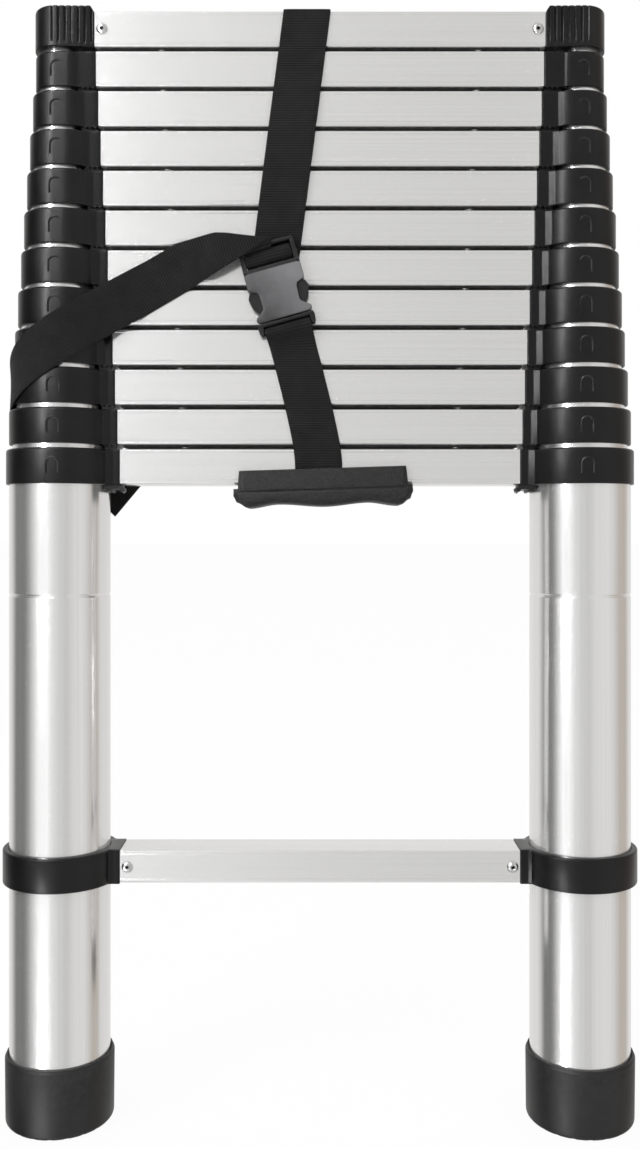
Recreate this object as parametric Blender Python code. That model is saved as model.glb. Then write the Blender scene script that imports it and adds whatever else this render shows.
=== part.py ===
import math

import bmesh
import bpy
from mathutils import Matrix, Vector

# Closed telescoping ladder. Metres, +Z up, front towards -Y, origin on the floor midway between the feet.
# Level 1 is the top of the base tubes, and the last level carries the end caps.

# Stack of sections
LEVELS = 12
STILE_SPACING = 0.396
FIRST_LEVEL_HEIGHT = 0.493
EXTENDED_PITCH = 0.300
ENGAGEMENT = 0.087
SEGMENTS = 20
FIT = 0.0003

# Tubes, each inside the one below it
BASE_TUBE_RADIUS = 0.03775
TUBE_WALL = 0.0014
TUBE_CLEARANCE = 0.0008
GROOVE_HEIGHT = 0.397
GROOVE_WIDTH = 0.003
GROOVE_DEPTH = 0.0006

# Rungs
RUNG_HEIGHT = 0.0265
RUNG_GAP = 0.0033
RUNG_DEPTH = 0.033
RUNG_WALL = 0.0018
RUNG_CORNER = 0.0015
BOTTOM_RUNG_CENTRE = 0.1935
BOTTOM_RUNG_HEIGHT = 0.0246
TENON_WIDTH = 0.015
TENON_HEIGHT = 0.012
WEB_LENGTH = 0.010
WEB_MARGIN = 0.001

# Collars, caps and clamps
COLLAR_WALL = 0.00225
COLLAR_FLANGE = 0.003
FLANGE_CLEARANCE = 0.00035
LUG_LENGTH = 0.008
LUG_GROWTH = 0.00041
SPIGOT_LENGTH = 0.021
SPIGOT_END = 0.003
CAP_WALL = 0.00485
CAP_LUG_LENGTH = 0.0106
CAP_RISE = 0.0044
CAP_CHAMFER = 0.004
CLAMP_WALL = 0.00475
CLAMP_LUG_LENGTH = 0.0055
CLAMP_HEIGHT = 0.0256

# Feet
FOOT_WALL = 0.0031
FOOT_HEIGHT = 0.051
FOOT_SOLE = 0.008
FOOT_EDGE = 0.005

# Rivets
RIVET_HEAD_RADIUS = 0.0043
RIVET_HEAD_HEIGHT = 0.0016
RIVET_SHANK_RADIUS = 0.002
RIVET_SHANK_LENGTH = 0.007
RIVET_INSET = 0.0055
RIVET_SEGMENTS = 12

# Release latches under the first level
LATCH_PIN_RADIUS = 0.003
LATCH_STEM_THICKNESS = 0.0022
LATCH_CLEARANCE = 0.0005
TAB_THICKNESS = 0.0056
TAB_OVERHANG = 0.0045
TAB_MARGIN = 0.001
SPRING_LENGTH = 0.0154
SPRING_RADIUS = 0.0024
SPRING_WIRE_RADIUS = 0.00045
SPRING_TURNS = 5

# Webbing
STRAP_WIDTH = 0.035
STRAP_THICKNESS = 0.0014
STRAP_BEND = 0.0016
UPPER_STRAP_X = -0.0097
LOWER_STRAP_X = -0.0034
LOWER_STRAP_BACK_RISE = 0.010

# Buckle
BUCKLE_X = -0.0322
BUCKLE_DROP = 0.194
BUCKLE_TILT = math.radians(-15.5)
BUCKLE_WIDTH = 0.043
BUCKLE_DEPTH = 0.0078
FEMALE_TOP = 0.0338
FEMALE_MOUTH = -0.024
FEMALE_BLOCK = 0.014
FEMALE_FRONT_PLATE = 0.002
FEMALE_BACK_PLATE = 0.0017
BUCKLE_BAR = 0.0033
BUCKLE_MIDDLE_BAR = 0.005
BUCKLE_SIDE_BAR = 0.0035
NOTCH_TOP = -0.0005
NOTCH_BOTTOM = -0.018
NOTCH_DEPTH = 0.0065
MALE_BASE = 0.0099
ARM_INSET = 0.0085
ARM_WIDTH = 0.004
ARM_REACH = 0.004
ARM_BULGE = 0.0015
TONGUE_WIDTH = 0.005

# Loose tail of the strap, led round the left stile: distance along it and its slope there, in degrees
TAIL_START_X = -0.040
TAIL_OVER_BUCKLE_X = -0.067
TAIL_ON_RUNG_X = -0.090
TAIL_LEAVES_RUNG_X = -0.130
TAIL_START_RISE = 0.0312
TAIL_ROUTE = ((0.0, 2), (0.03, 16), (0.06, 32), (0.15, 32), (0.175, 17), (0.225, 17), (0.26, 39), (0.35, 43))
TAIL_SIDE_CLEARANCE = 0.0016
TAIL_BACK_CLEARANCE = 0.0009
TAIL_LEAVES_STILE = math.radians(66)
TAIL_END_RUN = 0.034
TAIL_STEPS = 30
WRAP_STEPS = 24

# Carry handle round the first rung of the stack
HANDLE_LENGTH = 0.1337
HANDLE_X = 0.0018
HANDLE_TILT = math.radians(-2.5)
HANDLE_FLOOR_GAP = 0.0036
HANDLE_WALL = 0.0034
HANDLE_PANEL_RISE = 0.012
HANDLE_BACK_RISE = 0.008
GRIP_HEIGHT = 0.0125
GRIP_BULGE = 0.0045
GRIP_CORNER = 0.004

# Values worked out from the sizes above
HALF_SPACING = STILE_SPACING / 2
CLOSED_PITCH = RUNG_HEIGHT + RUNG_GAP
SLIDE_TRAVEL = EXTENDED_PITCH - CLOSED_PITCH
TUBE_STEP = TUBE_WALL + TUBE_CLEARANCE
LUG_HALF_WIDTH = RUNG_DEPTH / 2
TUBE_TOP = RUNG_HEIGHT / 2 - COLLAR_FLANGE - FIT
STRAP_PLANE = RUNG_DEPTH / 2 + FIT + STRAP_THICKNESS / 2
BUCKLE_BACK = RUNG_DEPTH / 2 + FIT + STRAP_THICKNESS + FIT


def level_height(level):
    return FIRST_LEVEL_HEIGHT + CLOSED_PITCH * (level - 1)


def tube_radius(level):
    return BASE_TUBE_RADIUS - TUBE_STEP * (level - 1)


def collar_radius(level):
    return tube_radius(level) + COLLAR_WALL


def lug_reach(level):
    return collar_radius(level) + LUG_LENGTH + LUG_GROWTH * (level - 1)


TOP_HEIGHT = level_height(LEVELS)
BUCKLE_HEIGHT = TOP_HEIGHT - BUCKLE_DROP
CAP_RADIUS = tube_radius(LEVELS) + CAP_WALL
CAP_REACH = CAP_RADIUS + CAP_LUG_LENGTH
CLAMP_RADIUS = BASE_TUBE_RADIUS + CLAMP_WALL
CLAMP_REACH = CLAMP_RADIUS + CLAMP_LUG_LENGTH


# Materials

def make_material(name, colour, roughness, metallic):
    material = bpy.data.materials.new(name)
    material.use_nodes = True
    shader = material.node_tree.nodes["Principled BSDF"]
    shader.inputs["Base Color"].default_value = (*colour, 1)
    shader.inputs["Roughness"].default_value = roughness
    shader.inputs["Metallic"].default_value = metallic
    return material


def make_materials():
    return {
        "aluminium": make_material("satin_aluminium", (0.78, 0.78, 0.79), 0.32, 1.0),
        "collar": make_material("black_collar_plastic", (0.030, 0.030, 0.032), 0.45, 0.0),
        "rubber": make_material("black_rubber", (0.035, 0.035, 0.036), 0.75, 0.0),
        "webbing": make_material("black_webbing", (0.018, 0.018, 0.019), 0.9, 0.0),
        "buckle": make_material("grey_buckle_plastic", (0.075, 0.075, 0.080), 0.45, 0.0),
        "handle": make_material("black_handle_plastic", (0.028, 0.028, 0.030), 0.6, 0.0),
        "steel": make_material("bright_steel", (0.70, 0.70, 0.71), 0.25, 1.0),
    }


# Solids as meshes under construction

def prism(outline, bottom, top):
    solid = bmesh.new()
    lower = [solid.verts.new((x, y, bottom)) for x, y in outline]
    upper = [solid.verts.new((x, y, top)) for x, y in outline]
    solid.faces.new(lower[::-1])
    solid.faces.new(upper)
    for i in range(len(outline)):
        j = (i + 1) % len(outline)
        solid.faces.new((lower[i], lower[j], upper[j], upper[i]))
    bmesh.ops.recalc_face_normals(solid, faces=solid.faces)
    return solid


def box(x, y, z):
    return prism([(x[0], y[0]), (x[1], y[0]), (x[1], y[1]), (x[0], y[1])], *z)


def centred_box(x, half_y, half_z):
    return box(x, (-half_y, half_y), (-half_z, half_z))


def turned(profile, segments=SEGMENTS):
    solid = bmesh.new()
    rings = []
    for radius, height in profile:
        count = segments if radius > 0 else 1
        turns = [2 * math.pi * i / segments for i in range(count)]
        rings.append([solid.verts.new((radius * math.cos(a), radius * math.sin(a), height)) for a in turns])
    for ring, following in zip(rings, rings[1:] + rings[:1]):
        for i in range(segments):
            j = i + 1
            corners = (ring[i % len(ring)], ring[j % len(ring)],
                       following[j % len(following)], following[i % len(following)])
            face = list(dict.fromkeys(corners))
            if len(face) > 2:
                solid.faces.new(face)
    bmesh.ops.recalc_face_normals(solid, faces=solid.faces)
    return solid


def cylinder(radius, bottom, top, segments=SEGMENTS):
    return turned([(0, bottom), (radius, bottom), (radius, top), (0, top)], segments)


def moved(solid, offset, turn=None):
    matrix = Matrix.Translation(offset)
    if turn is not None:
        matrix = matrix @ turn
    solid.transform(matrix)
    return solid


FACING_FRONT = Matrix.Rotation(math.radians(90), 4, "X")
ALONG_X = Matrix.Rotation(math.radians(90), 4, "Y")


def band(rows, thickness):
    """A flat strip of webbing: rows of (point, normal) across it, from one end to the other."""
    solid = bmesh.new()
    outer = [[solid.verts.new(point + normal * thickness / 2) for point, normal in row] for row in rows]
    inner = [[solid.verts.new(point - normal * thickness / 2) for point, normal in row] for row in rows]
    for skin in (outer, inner):
        for row, following in zip(skin, skin[1:]):
            for i in range(len(row) - 1):
                solid.faces.new((row[i], row[i + 1], following[i + 1], following[i]))
    for side in (0, -1):
        for i in range(len(rows) - 1):
            solid.faces.new((outer[i][side], outer[i + 1][side], inner[i + 1][side], inner[i][side]))
    for end in (0, -1):
        for i in range(len(rows[end]) - 1):
            solid.faces.new((outer[end][i], outer[end][i + 1], inner[end][i + 1], inner[end][i]))
    bmesh.ops.recalc_face_normals(solid, faces=solid.faces)
    return solid


# Objects

def make_object(name, solid, material):
    mesh = bpy.data.meshes.new(name)
    solid.to_mesh(mesh)
    solid.free()
    mesh.materials.append(material)
    piece = bpy.data.objects.new(name, mesh)
    bpy.context.scene.collection.objects.link(piece)
    return piece


def combine(piece, solid, operation, solver="EXACT"):
    helper = make_object("helper", solid, piece.data.materials[0])
    modifier = piece.modifiers.new("combine", "BOOLEAN")
    modifier.operation = operation
    modifier.solver = solver
    modifier.object = helper
    evaluated = piece.evaluated_get(bpy.context.evaluated_depsgraph_get())
    result = bpy.data.meshes.new_from_object(evaluated)
    piece.modifiers.clear()
    before = piece.data
    piece.data = result
    result.name = piece.name
    bpy.data.objects.remove(helper)
    bpy.data.meshes.remove(before)


def join(piece, solid):
    combine(piece, solid, "UNION")


def cut(piece, solid):
    combine(piece, solid, "DIFFERENCE")


def finish(piece, body, location=(0, 0, 0), rotation=(0, 0, 0)):
    piece.data.shade_smooth()
    piece.data.set_sharp_from_angle(angle=math.radians(35))
    piece.parent = body
    piece.location = location
    piece.rotation_euler = rotation


def make_body(name, location, parent):
    body = bpy.data.objects.new(name, None)
    bpy.context.scene.collection.objects.link(body)
    body.parent = parent
    body.location = location
    return body


def on_right_side(piece):
    """Mirrors a piece that was made for the left stile."""
    piece.data.transform(Matrix.Diagonal((-1, 1, 1, 1)))
    piece.data.flip_normals()


def finish_on_stile(piece, side, body, height):
    if side > 0:
        on_right_side(piece)
    finish(piece, body, (side * HALF_SPACING, 0, height))


SIDES = ((-1, "left"), (1, "right"))


# Shapes that several pieces share. On a stile, +X points from its axis towards the rungs.

def lug_outline(radius, reach):
    """A ring's outside with a flat-fronted lug on its rung side."""
    half = LUG_HALF_WIDTH
    meeting = math.asin(min(1, half / radius))
    corner = radius * math.cos(meeting)
    turns = [2 * math.pi * i / SEGMENTS for i in range(SEGMENTS)]
    arc = [a for a in turns if meeting + 0.01 < a < 2 * math.pi - meeting - 0.01]
    points = [(reach, -half), (reach, half), (corner, half)]
    points += [(radius * math.cos(a), radius * math.sin(a)) for a in arc]
    points.append((corner, -half))
    return points


def spigot(reach, height):
    """The tongue of a lug inside the rung's end."""
    return centred_box((reach - RUNG_WALL, reach + SPIGOT_LENGTH),
                       RUNG_DEPTH / 2 - RUNG_WALL - FIT, height / 2 - RUNG_WALL - FIT)


def rung_shell(name, reach, height, material):
    """A hollow rung between two lugs that reach this far from the stile axes."""
    half_length = HALF_SPACING - reach - FIT
    y, z, c = RUNG_DEPTH / 2, height / 2, RUNG_CORNER
    section = [(z - c, -y), (z, c - y), (z, y - c), (z - c, y), (c - z, y), (-z, y - c), (-z, c - y), (c - z, -y)]
    shell = moved(prism(section, -half_length, half_length), (0, 0, 0), ALONG_X)
    rung = make_object(name, shell, material)
    cut(rung, centred_box((-HALF_SPACING, HALF_SPACING), y - RUNG_WALL, z - RUNG_WALL))
    return rung


def rivet_x(reach):
    return reach + FIT + RIVET_INSET


def rivet_hole(x):
    hole = cylinder(RIVET_SHANK_RADIUS + FIT, -RIVET_SHANK_LENGTH - FIT, RIVET_HEAD_HEIGHT, RIVET_SEGMENTS)
    return moved(hole, (x, -RUNG_DEPTH / 2, 0), FACING_FRONT)


def add_rivets(prefix, rung, reach, body, height, material):
    """Two pop rivets through the rung's front wall, with their holes."""
    rise = [RIVET_HEAD_HEIGHT * math.sin(math.radians(a)) for a in (0, 30, 60)]
    spread = [RIVET_HEAD_RADIUS * math.cos(math.radians(a)) for a in (0, 30, 60)]
    dome = [(r, FIT + z) for r, z in zip(spread, rise)]
    profile = [(0, -RIVET_SHANK_LENGTH), (RIVET_SHANK_RADIUS, -RIVET_SHANK_LENGTH), (RIVET_SHANK_RADIUS, FIT)]
    profile += dome + [(0, FIT + RIVET_HEAD_HEIGHT)]
    for side, word in SIDES:
        x = side * (HALF_SPACING - rivet_x(reach))
        cut(rung, rivet_hole(x))
        rivet = make_object(f"{prefix}_{word}", turned(profile, RIVET_SEGMENTS), material)
        finish(rivet, body, (x, -RUNG_DEPTH / 2, height), (math.radians(90), 0, 0))


# Base: feet, tubes, fixed rung

def tube_bottom():
    """The lower end of a sliding tube, from its own level."""
    return TUBE_TOP - CLOSED_PITCH - ENGAGEMENT - SLIDE_TRAVEL


def make_base_tube(side, word, base, materials):
    outer, inner = BASE_TUBE_RADIUS, BASE_TUBE_RADIUS - TUBE_WALL
    bottom, top = FOOT_SOLE + FIT, FIRST_LEVEL_HEIGHT + TUBE_TOP
    waist, half_groove = outer - GROOVE_DEPTH, GROOVE_WIDTH / 2
    profile = [(inner, bottom), (outer, bottom), (outer, GROOVE_HEIGHT - half_groove), (waist, GROOVE_HEIGHT),
               (outer, GROOVE_HEIGHT + half_groove), (outer, top), (inner, top)]
    tube = make_object(f"base_tube_{word}", turned(profile), materials["aluminium"])
    pin_hole = cylinder(LATCH_PIN_RADIUS + LATCH_CLEARANCE, 0, outer + FIT, RIVET_SEGMENTS)
    cut(tube, moved(pin_hole, (0, 0, FIRST_LEVEL_HEIGHT), ALONG_X))
    finish_on_stile(tube, side, base, 0)


def make_foot(side, word, base, materials):
    outer, seat = BASE_TUBE_RADIUS + FOOT_WALL, BASE_TUBE_RADIUS + FIT
    edge = [math.radians(a) for a in (-90, -60, -30, 0)]
    rounding = [(outer - FOOT_EDGE + FOOT_EDGE * math.cos(a), FOOT_EDGE + FOOT_EDGE * math.sin(a)) for a in edge]
    profile = [(0, 0)] + rounding + [(outer, FOOT_HEIGHT), (seat, FOOT_HEIGHT), (seat, FOOT_SOLE), (0, FOOT_SOLE)]
    foot = make_object(f"foot_{word}", turned(profile), materials["rubber"])
    finish_on_stile(foot, side, base, 0)


def make_clamp(side, word, base, materials):
    half = CLAMP_HEIGHT / 2
    clamp = make_object(f"clamp_{word}", prism(lug_outline(CLAMP_RADIUS, CLAMP_REACH), -half, half),
                        materials["collar"])
    join(clamp, spigot(CLAMP_REACH, BOTTOM_RUNG_HEIGHT))
    cut(clamp, cylinder(BASE_TUBE_RADIUS + FIT, -CLAMP_HEIGHT, CLAMP_HEIGHT))
    cut(clamp, rivet_hole(rivet_x(CLAMP_REACH)))
    finish_on_stile(clamp, side, base, BOTTOM_RUNG_CENTRE)


def make_bottom_rung(base, materials):
    rung = rung_shell("bottom_rung", CLAMP_REACH, BOTTOM_RUNG_HEIGHT, materials["aluminium"])
    add_rivets("bottom_rivet", rung, CLAMP_REACH, base, BOTTOM_RUNG_CENTRE, materials["steel"])
    finish(rung, base, (0, 0, BOTTOM_RUNG_CENTRE))


# Collars and sliding sections

def collar_blank(level, word, material):
    """The ring and lug, bored for its own tube and for the next one."""
    half = RUNG_HEIGHT / 2
    collar = make_object(f"collar_{level:02d}_{word}",
                         prism(lug_outline(collar_radius(level), lug_reach(level)), -half, half), material)
    if level == 1:
        join(collar, spigot(lug_reach(level), RUNG_HEIGHT))
    cut(collar, cylinder(tube_radius(level) + FIT, -RUNG_HEIGHT, half - COLLAR_FLANGE))
    cut(collar, cylinder(tube_radius(level + 1) + FLANGE_CLEARANCE, -RUNG_HEIGHT, RUNG_HEIGHT))
    return collar


CHANNEL_END = lug_reach(1) + SPIGOT_LENGTH - SPIGOT_END
PIN_TIP = tube_radius(2) + FIT
PIN_END = CHANNEL_END - SPRING_LENGTH - 2 * FIT


def make_first_collar(side, word, base, materials):
    collar = collar_blank(1, word, materials["collar"])
    channel = LATCH_PIN_RADIUS + LATCH_CLEARANCE
    cut(collar, box((PIN_TIP, CHANNEL_END), (-channel, channel), (-RUNG_HEIGHT, channel)))
    finish_on_stile(collar, side, base, FIRST_LEVEL_HEIGHT)


def make_sliding_collar(level, side, word, section, materials):
    collar = collar_blank(level, word, materials["collar"])
    cut(collar, centred_box((0, 2 * lug_reach(level)), TENON_WIDTH / 2 + FIT, TENON_HEIGHT / 2 + FIT))
    finish_on_stile(collar, side, section, 0)


def make_section_frame(level, section, materials):
    """Both tubes of one level and the rung that ties them together."""
    reach, radius = lug_reach(level), tube_radius(level)
    frame = rung_shell(f"section_{level:02d}_frame", reach, RUNG_HEIGHT, materials["aluminium"])
    for side, _ in SIDES:
        web_start = HALF_SPACING - reach - FIT - RUNG_WALL
        web_end = web_start - WEB_LENGTH
        tenon_x = sorted((side * HALF_SPACING, side * (web_end + WEB_MARGIN)))
        web_x = sorted((side * web_start, side * web_end))
        axis = (side * HALF_SPACING, 0, 0)
        web = centred_box(web_x, TENON_WIDTH / 2 + WEB_MARGIN, (RUNG_HEIGHT - RUNG_WALL) / 2)
        tenon = centred_box(tenon_x, TENON_WIDTH / 2, TENON_HEIGHT / 2)
        tube = moved(cylinder(radius, tube_bottom(), TUBE_TOP), axis)
        bore = moved(cylinder(radius - TUBE_WALL, tube_bottom() - FIT, TUBE_TOP + FIT), axis)
        for solid in (web, tenon, tube):
            combine(frame, solid, "UNION", "MANIFOLD")
        combine(frame, bore, "DIFFERENCE", "MANIFOLD")
    finish(frame, section)


# Top section

def make_top_tube(side, word, section, materials):
    outer, inner = tube_radius(LEVELS), tube_radius(LEVELS) - TUBE_WALL
    bottom = tube_bottom()
    tube = make_object(f"top_tube_{word}",
                       turned([(inner, bottom), (outer, bottom), (outer, TUBE_TOP), (inner, TUBE_TOP)]),
                       materials["aluminium"])
    finish_on_stile(tube, side, section, 0)


def make_cap(side, word, section, materials):
    bottom, top = -RUNG_HEIGHT / 2, RUNG_HEIGHT / 2 + CAP_RISE
    cap = make_object(f"cap_{word}", prism(lug_outline(CAP_RADIUS, CAP_REACH), bottom, top), materials["collar"])
    for x in (-CAP_RADIUS, CAP_REACH):
        edge = box((-CAP_CHAMFER, CAP_CHAMFER), (-RUNG_DEPTH, RUNG_DEPTH), (-CAP_CHAMFER, CAP_CHAMFER))
        edge.transform(Matrix.Rotation(math.radians(45), 4, "Y"))
        cut(cap, moved(edge, (x, 0, top)))
    join(cap, spigot(CAP_REACH, RUNG_HEIGHT))
    cut(cap, cylinder(tube_radius(LEVELS) + FIT, -RUNG_HEIGHT, TUBE_TOP + FIT))
    cut(cap, rivet_hole(rivet_x(CAP_REACH)))
    finish_on_stile(cap, side, section, 0)


def make_top_rung(section, materials):
    rung = rung_shell(f"rung_{LEVELS:02d}", CAP_REACH, RUNG_HEIGHT, materials["aluminium"])
    add_rivets("top_rivet", rung, CAP_REACH, section, 0, materials["steel"])
    finish(rung, section)


# Release latches: a thumb tab under the lug, a stem through its slot, and a lock pin on the inner tube

def make_latch(side, word, latch, materials):
    underside = -RUNG_HEIGHT / 2 - FIT
    hollow = BASE_TUBE_RADIUS + TAB_MARGIN
    half = LUG_HALF_WIDTH - TAB_MARGIN
    sweep = math.asin(min(1, half / hollow))
    arc = [sweep - 2 * sweep * i / 6 for i in range(7)]
    outline = [(lug_reach(1) + TAB_OVERHANG, -half), (lug_reach(1) + TAB_OVERHANG, half)]
    outline += [(hollow * math.cos(a), hollow * math.sin(a)) for a in arc]
    tab = make_object(f"latch_{word}", prism(outline, underside - TAB_THICKNESS, underside), materials["collar"])
    stem_start = hollow + FIT
    stem = box((stem_start, stem_start + LATCH_STEM_THICKNESS),
               (-LATCH_PIN_RADIUS + FIT, LATCH_PIN_RADIUS - FIT), (underside - TAB_THICKNESS / 2, 0))
    join(tab, stem)
    join(tab, moved(cylinder(LATCH_PIN_RADIUS, PIN_TIP, PIN_END, RIVET_SEGMENTS), (0, 0, 0), ALONG_X))
    finish_on_stile(tab, side, latch, 0)


def make_latch_spring(side, word, base, materials):
    """A coil between the lock pin's end and the end of the lug's channel."""
    per_turn, corners = 8, 4
    count = SPRING_TURNS * per_turn
    start = PIN_END + FIT + SPRING_WIRE_RADIUS
    pitch = (SPRING_LENGTH - 2 * SPRING_WIRE_RADIUS) / count
    solid = bmesh.new()
    rings = []
    for i in range(count + 1):
        turn = 2 * math.pi * i / per_turn
        radial = Vector((0, math.cos(turn), math.sin(turn)))
        centre = Vector((start + pitch * i, 0, 0)) + radial * SPRING_RADIUS
        ring = []
        for k in range(corners):
            around = 2 * math.pi * k / corners
            offset = radial * math.cos(around) + Vector((1, 0, 0)) * math.sin(around)
            ring.append(solid.verts.new(centre + offset * SPRING_WIRE_RADIUS))
        rings.append(ring)
    for ring, following in zip(rings, rings[1:]):
        for k in range(corners):
            j = (k + 1) % corners
            solid.faces.new((ring[k], ring[j], following[j], following[k]))
    solid.faces.new(rings[0])
    solid.faces.new(rings[-1])
    bmesh.ops.recalc_face_normals(solid, faces=solid.faces)
    spring = make_object(f"latch_spring_{word}", solid, materials["steel"])
    finish_on_stile(spring, side, base, FIRST_LEVEL_HEIGHT)


# Webbing

def rounded(points, radius, steps=3):
    """A path through the points with each corner turned on a radius."""
    points = [Vector(point) for point in points]
    path = [points[0]]
    for before, corner, after in zip(points, points[1:], points[2:]):
        back, ahead = (before - corner).normalized(), (after - corner).normalized()
        half = back.angle(ahead) / 2
        start, end = corner + back * radius / math.tan(half), corner + ahead * radius / math.tan(half)
        centre = corner + (back + ahead).normalized() * radius / math.sin(half)
        for i in range(steps + 1):
            spoke = (start - centre).lerp(end - centre, i / steps)
            path.append(centre + spoke.normalized() * radius)
    path.append(points[-1])
    return path


def path_normals(path):
    normals = []
    for i in range(len(path)):
        along = (path[min(i + 1, len(path) - 1)] - path[max(i - 1, 0)]).normalized()
        normals.append(Vector((along.y, -along.x)))
    return normals


def leaning_band(path, centre_at, width):
    """A band whose path is given in (y, z), shifted sideways by height so that it leans."""
    rows = []
    for point, normal in zip(path, path_normals(path)):
        x = centre_at(point.y)
        out = Vector((0, normal.x, normal.y))
        rows.append([(Vector((x + side * width / 2, point.x, point.y)), out) for side, _ in SIDES])
    return band(rows, STRAP_THICKNESS)


def make_upper_strap(section, materials):
    """Looped round the top rung, then down the front to the buckle."""
    low, high = -RUNG_HEIGHT / 2 - FIT - STRAP_THICKNESS / 2, RUNG_HEIGHT / 2 + FIT + STRAP_THICKNESS / 2
    end = -BUCKLE_DROP + FEMALE_BLOCK
    path = rounded([(-STRAP_PLANE, end), (-STRAP_PLANE, high), (STRAP_PLANE, high), (STRAP_PLANE, low),
                    (STRAP_THICKNESS / 2 + FIT - STRAP_PLANE, low)], STRAP_BEND)
    lean = (BUCKLE_X - UPPER_STRAP_X) / -BUCKLE_DROP
    width = STRAP_WIDTH / math.cos(math.atan(lean))
    strap = make_object("strap_upper", leaning_band(path, lambda z: UPPER_STRAP_X + lean * min(z, 0), width),
                        materials["webbing"])
    finish(strap, section)


def make_lower_strap(base, materials):
    """From the buckle down inside the handle and round the first rung."""
    low = -RUNG_HEIGHT / 2 - FIT - STRAP_THICKNESS / 2
    buckle = BUCKLE_HEIGHT - FIRST_LEVEL_HEIGHT
    path = rounded([(-STRAP_PLANE, buckle + FEMALE_MOUTH), (-STRAP_PLANE, low), (STRAP_PLANE, low),
                    (STRAP_PLANE, low + LOWER_STRAP_BACK_RISE)], STRAP_BEND)
    lean = (BUCKLE_X - LOWER_STRAP_X) / buckle
    width = STRAP_WIDTH / math.cos(math.atan(lean))
    strap = make_object("strap_lower", leaning_band(path, lambda z: LOWER_STRAP_X + lean * max(z, 0), width),
                        materials["webbing"])
    finish(strap, base, (0, 0, FIRST_LEVEL_HEIGHT))


def tail_plan():
    """The tail seen from above: over the buckle, along the rungs, round the left stile and behind it."""
    front = -BUCKLE_BACK - BUCKLE_DEPTH - FIT - STRAP_THICKNESS / 2
    side_radius = collar_radius(2) + TAIL_SIDE_CLEARANCE + STRAP_THICKNESS / 2
    back_radius = collar_radius(1) + TAIL_BACK_CLEARANCE + STRAP_THICKNESS / 2
    leaves = Vector((TAIL_LEAVES_RUNG_X + HALF_SPACING, -STRAP_PLANE))
    first = math.atan2(leaves.y, leaves.x) - math.acos(side_radius / leaves.length)
    last = TAIL_LEAVES_STILE - 2 * math.pi
    points = [(TAIL_START_X, front), (TAIL_OVER_BUCKLE_X, front), (TAIL_ON_RUNG_X, -STRAP_PLANE),
              (TAIL_LEAVES_RUNG_X, -STRAP_PLANE)]
    path = [Vector(point) for point in points]
    for i in range(WRAP_STEPS + 1):
        share = i / WRAP_STEPS
        angle = first + (last - first) * share
        radius = side_radius + (back_radius - side_radius) * min(1, 2 * share)
        path.append(Vector((radius * math.cos(angle) - HALF_SPACING, radius * math.sin(angle))))
    heading = Vector((math.sin(last), -math.cos(last)))
    path.append(path[-1] + heading * TAIL_END_RUN)
    return path


def tail_slope(distance):
    for (start, low), (end, high) in zip(TAIL_ROUTE, TAIL_ROUTE[1:]):
        if distance <= end:
            share = max(0, (distance - start) / (end - start))
            return math.radians(low + (high - low) * share)
    return math.radians(TAIL_ROUTE[-1][1])


def along_path(path, normals, distance):
    """The point and normal at a distance along a path, which runs on straight past its ends."""
    for i in range(len(path) - 1):
        length = (path[i + 1] - path[i]).length
        if distance <= length or i == len(path) - 2:
            share = distance / length
            return path[i].lerp(path[i + 1], share), normals[i].lerp(normals[i + 1], min(1, max(0, share)))
        distance -= length


def make_tail(section, materials):
    path = tail_plan()
    normals = path_normals(path)
    total = sum((b - a).length for a, b in zip(path, path[1:]))
    step = total / TAIL_STEPS
    height = TAIL_START_RISE - BUCKLE_DROP
    rows = []
    for i in range(TAIL_STEPS + 1):
        slope = tail_slope(i * step)
        row = []
        for across in (-0.5, -0.25, 0, 0.25, 0.5):
            point, normal = along_path(path, normals, i * step + across * STRAP_WIDTH * math.sin(slope))
            z = height + across * STRAP_WIDTH * math.cos(slope)
            row.append((Vector((point.x, point.y, z)), Vector((normal.x, normal.y, 0)).normalized()))
        rows.append(row)
        height -= step * math.tan(tail_slope((i + 0.5) * step))
    tail = make_object("strap_tail", band(rows, STRAP_THICKNESS), materials["webbing"])
    finish(tail, section)


# Buckle, drawn upright with its back on Y = 0

def make_buckle_female(section, materials):
    """Two plates under a block with the strap slots, open at its sides and mouth."""
    half = BUCKLE_WIDTH / 2
    everywhere = (-2 * BUCKLE_DEPTH, BUCKLE_DEPTH)
    buckle = make_object("buckle_female",
                         box((-half, half), (-BUCKLE_DEPTH, 0), (FEMALE_MOUTH, FEMALE_TOP)), materials["buckle"])
    cut(buckle, box((-BUCKLE_WIDTH, BUCKLE_WIDTH), (FEMALE_FRONT_PLATE - BUCKLE_DEPTH, -FEMALE_BACK_PLATE),
                    (2 * FEMALE_MOUTH, FEMALE_BLOCK - BUCKLE_BAR / 2)))
    slot_half = half - BUCKLE_SIDE_BAR
    slot_top, slot_bottom = FEMALE_TOP - BUCKLE_BAR, FEMALE_BLOCK + BUCKLE_BAR / 2
    middle = (slot_top + slot_bottom) / 2
    for low, high in ((slot_bottom, middle - BUCKLE_MIDDLE_BAR / 2), (middle + BUCKLE_MIDDLE_BAR / 2, slot_top)):
        cut(buckle, box((-slot_half, slot_half), everywhere, (low, high)))
    for side, _ in SIDES:
        notch_x = sorted((side * (half - NOTCH_DEPTH), side * BUCKLE_WIDTH))
        cut(buckle, box(notch_x, everywhere, (NOTCH_BOTTOM, NOTCH_TOP)))
    finish(buckle, section, (BUCKLE_X, -BUCKLE_BACK, -BUCKLE_DROP), (0, BUCKLE_TILT, 0))


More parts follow.
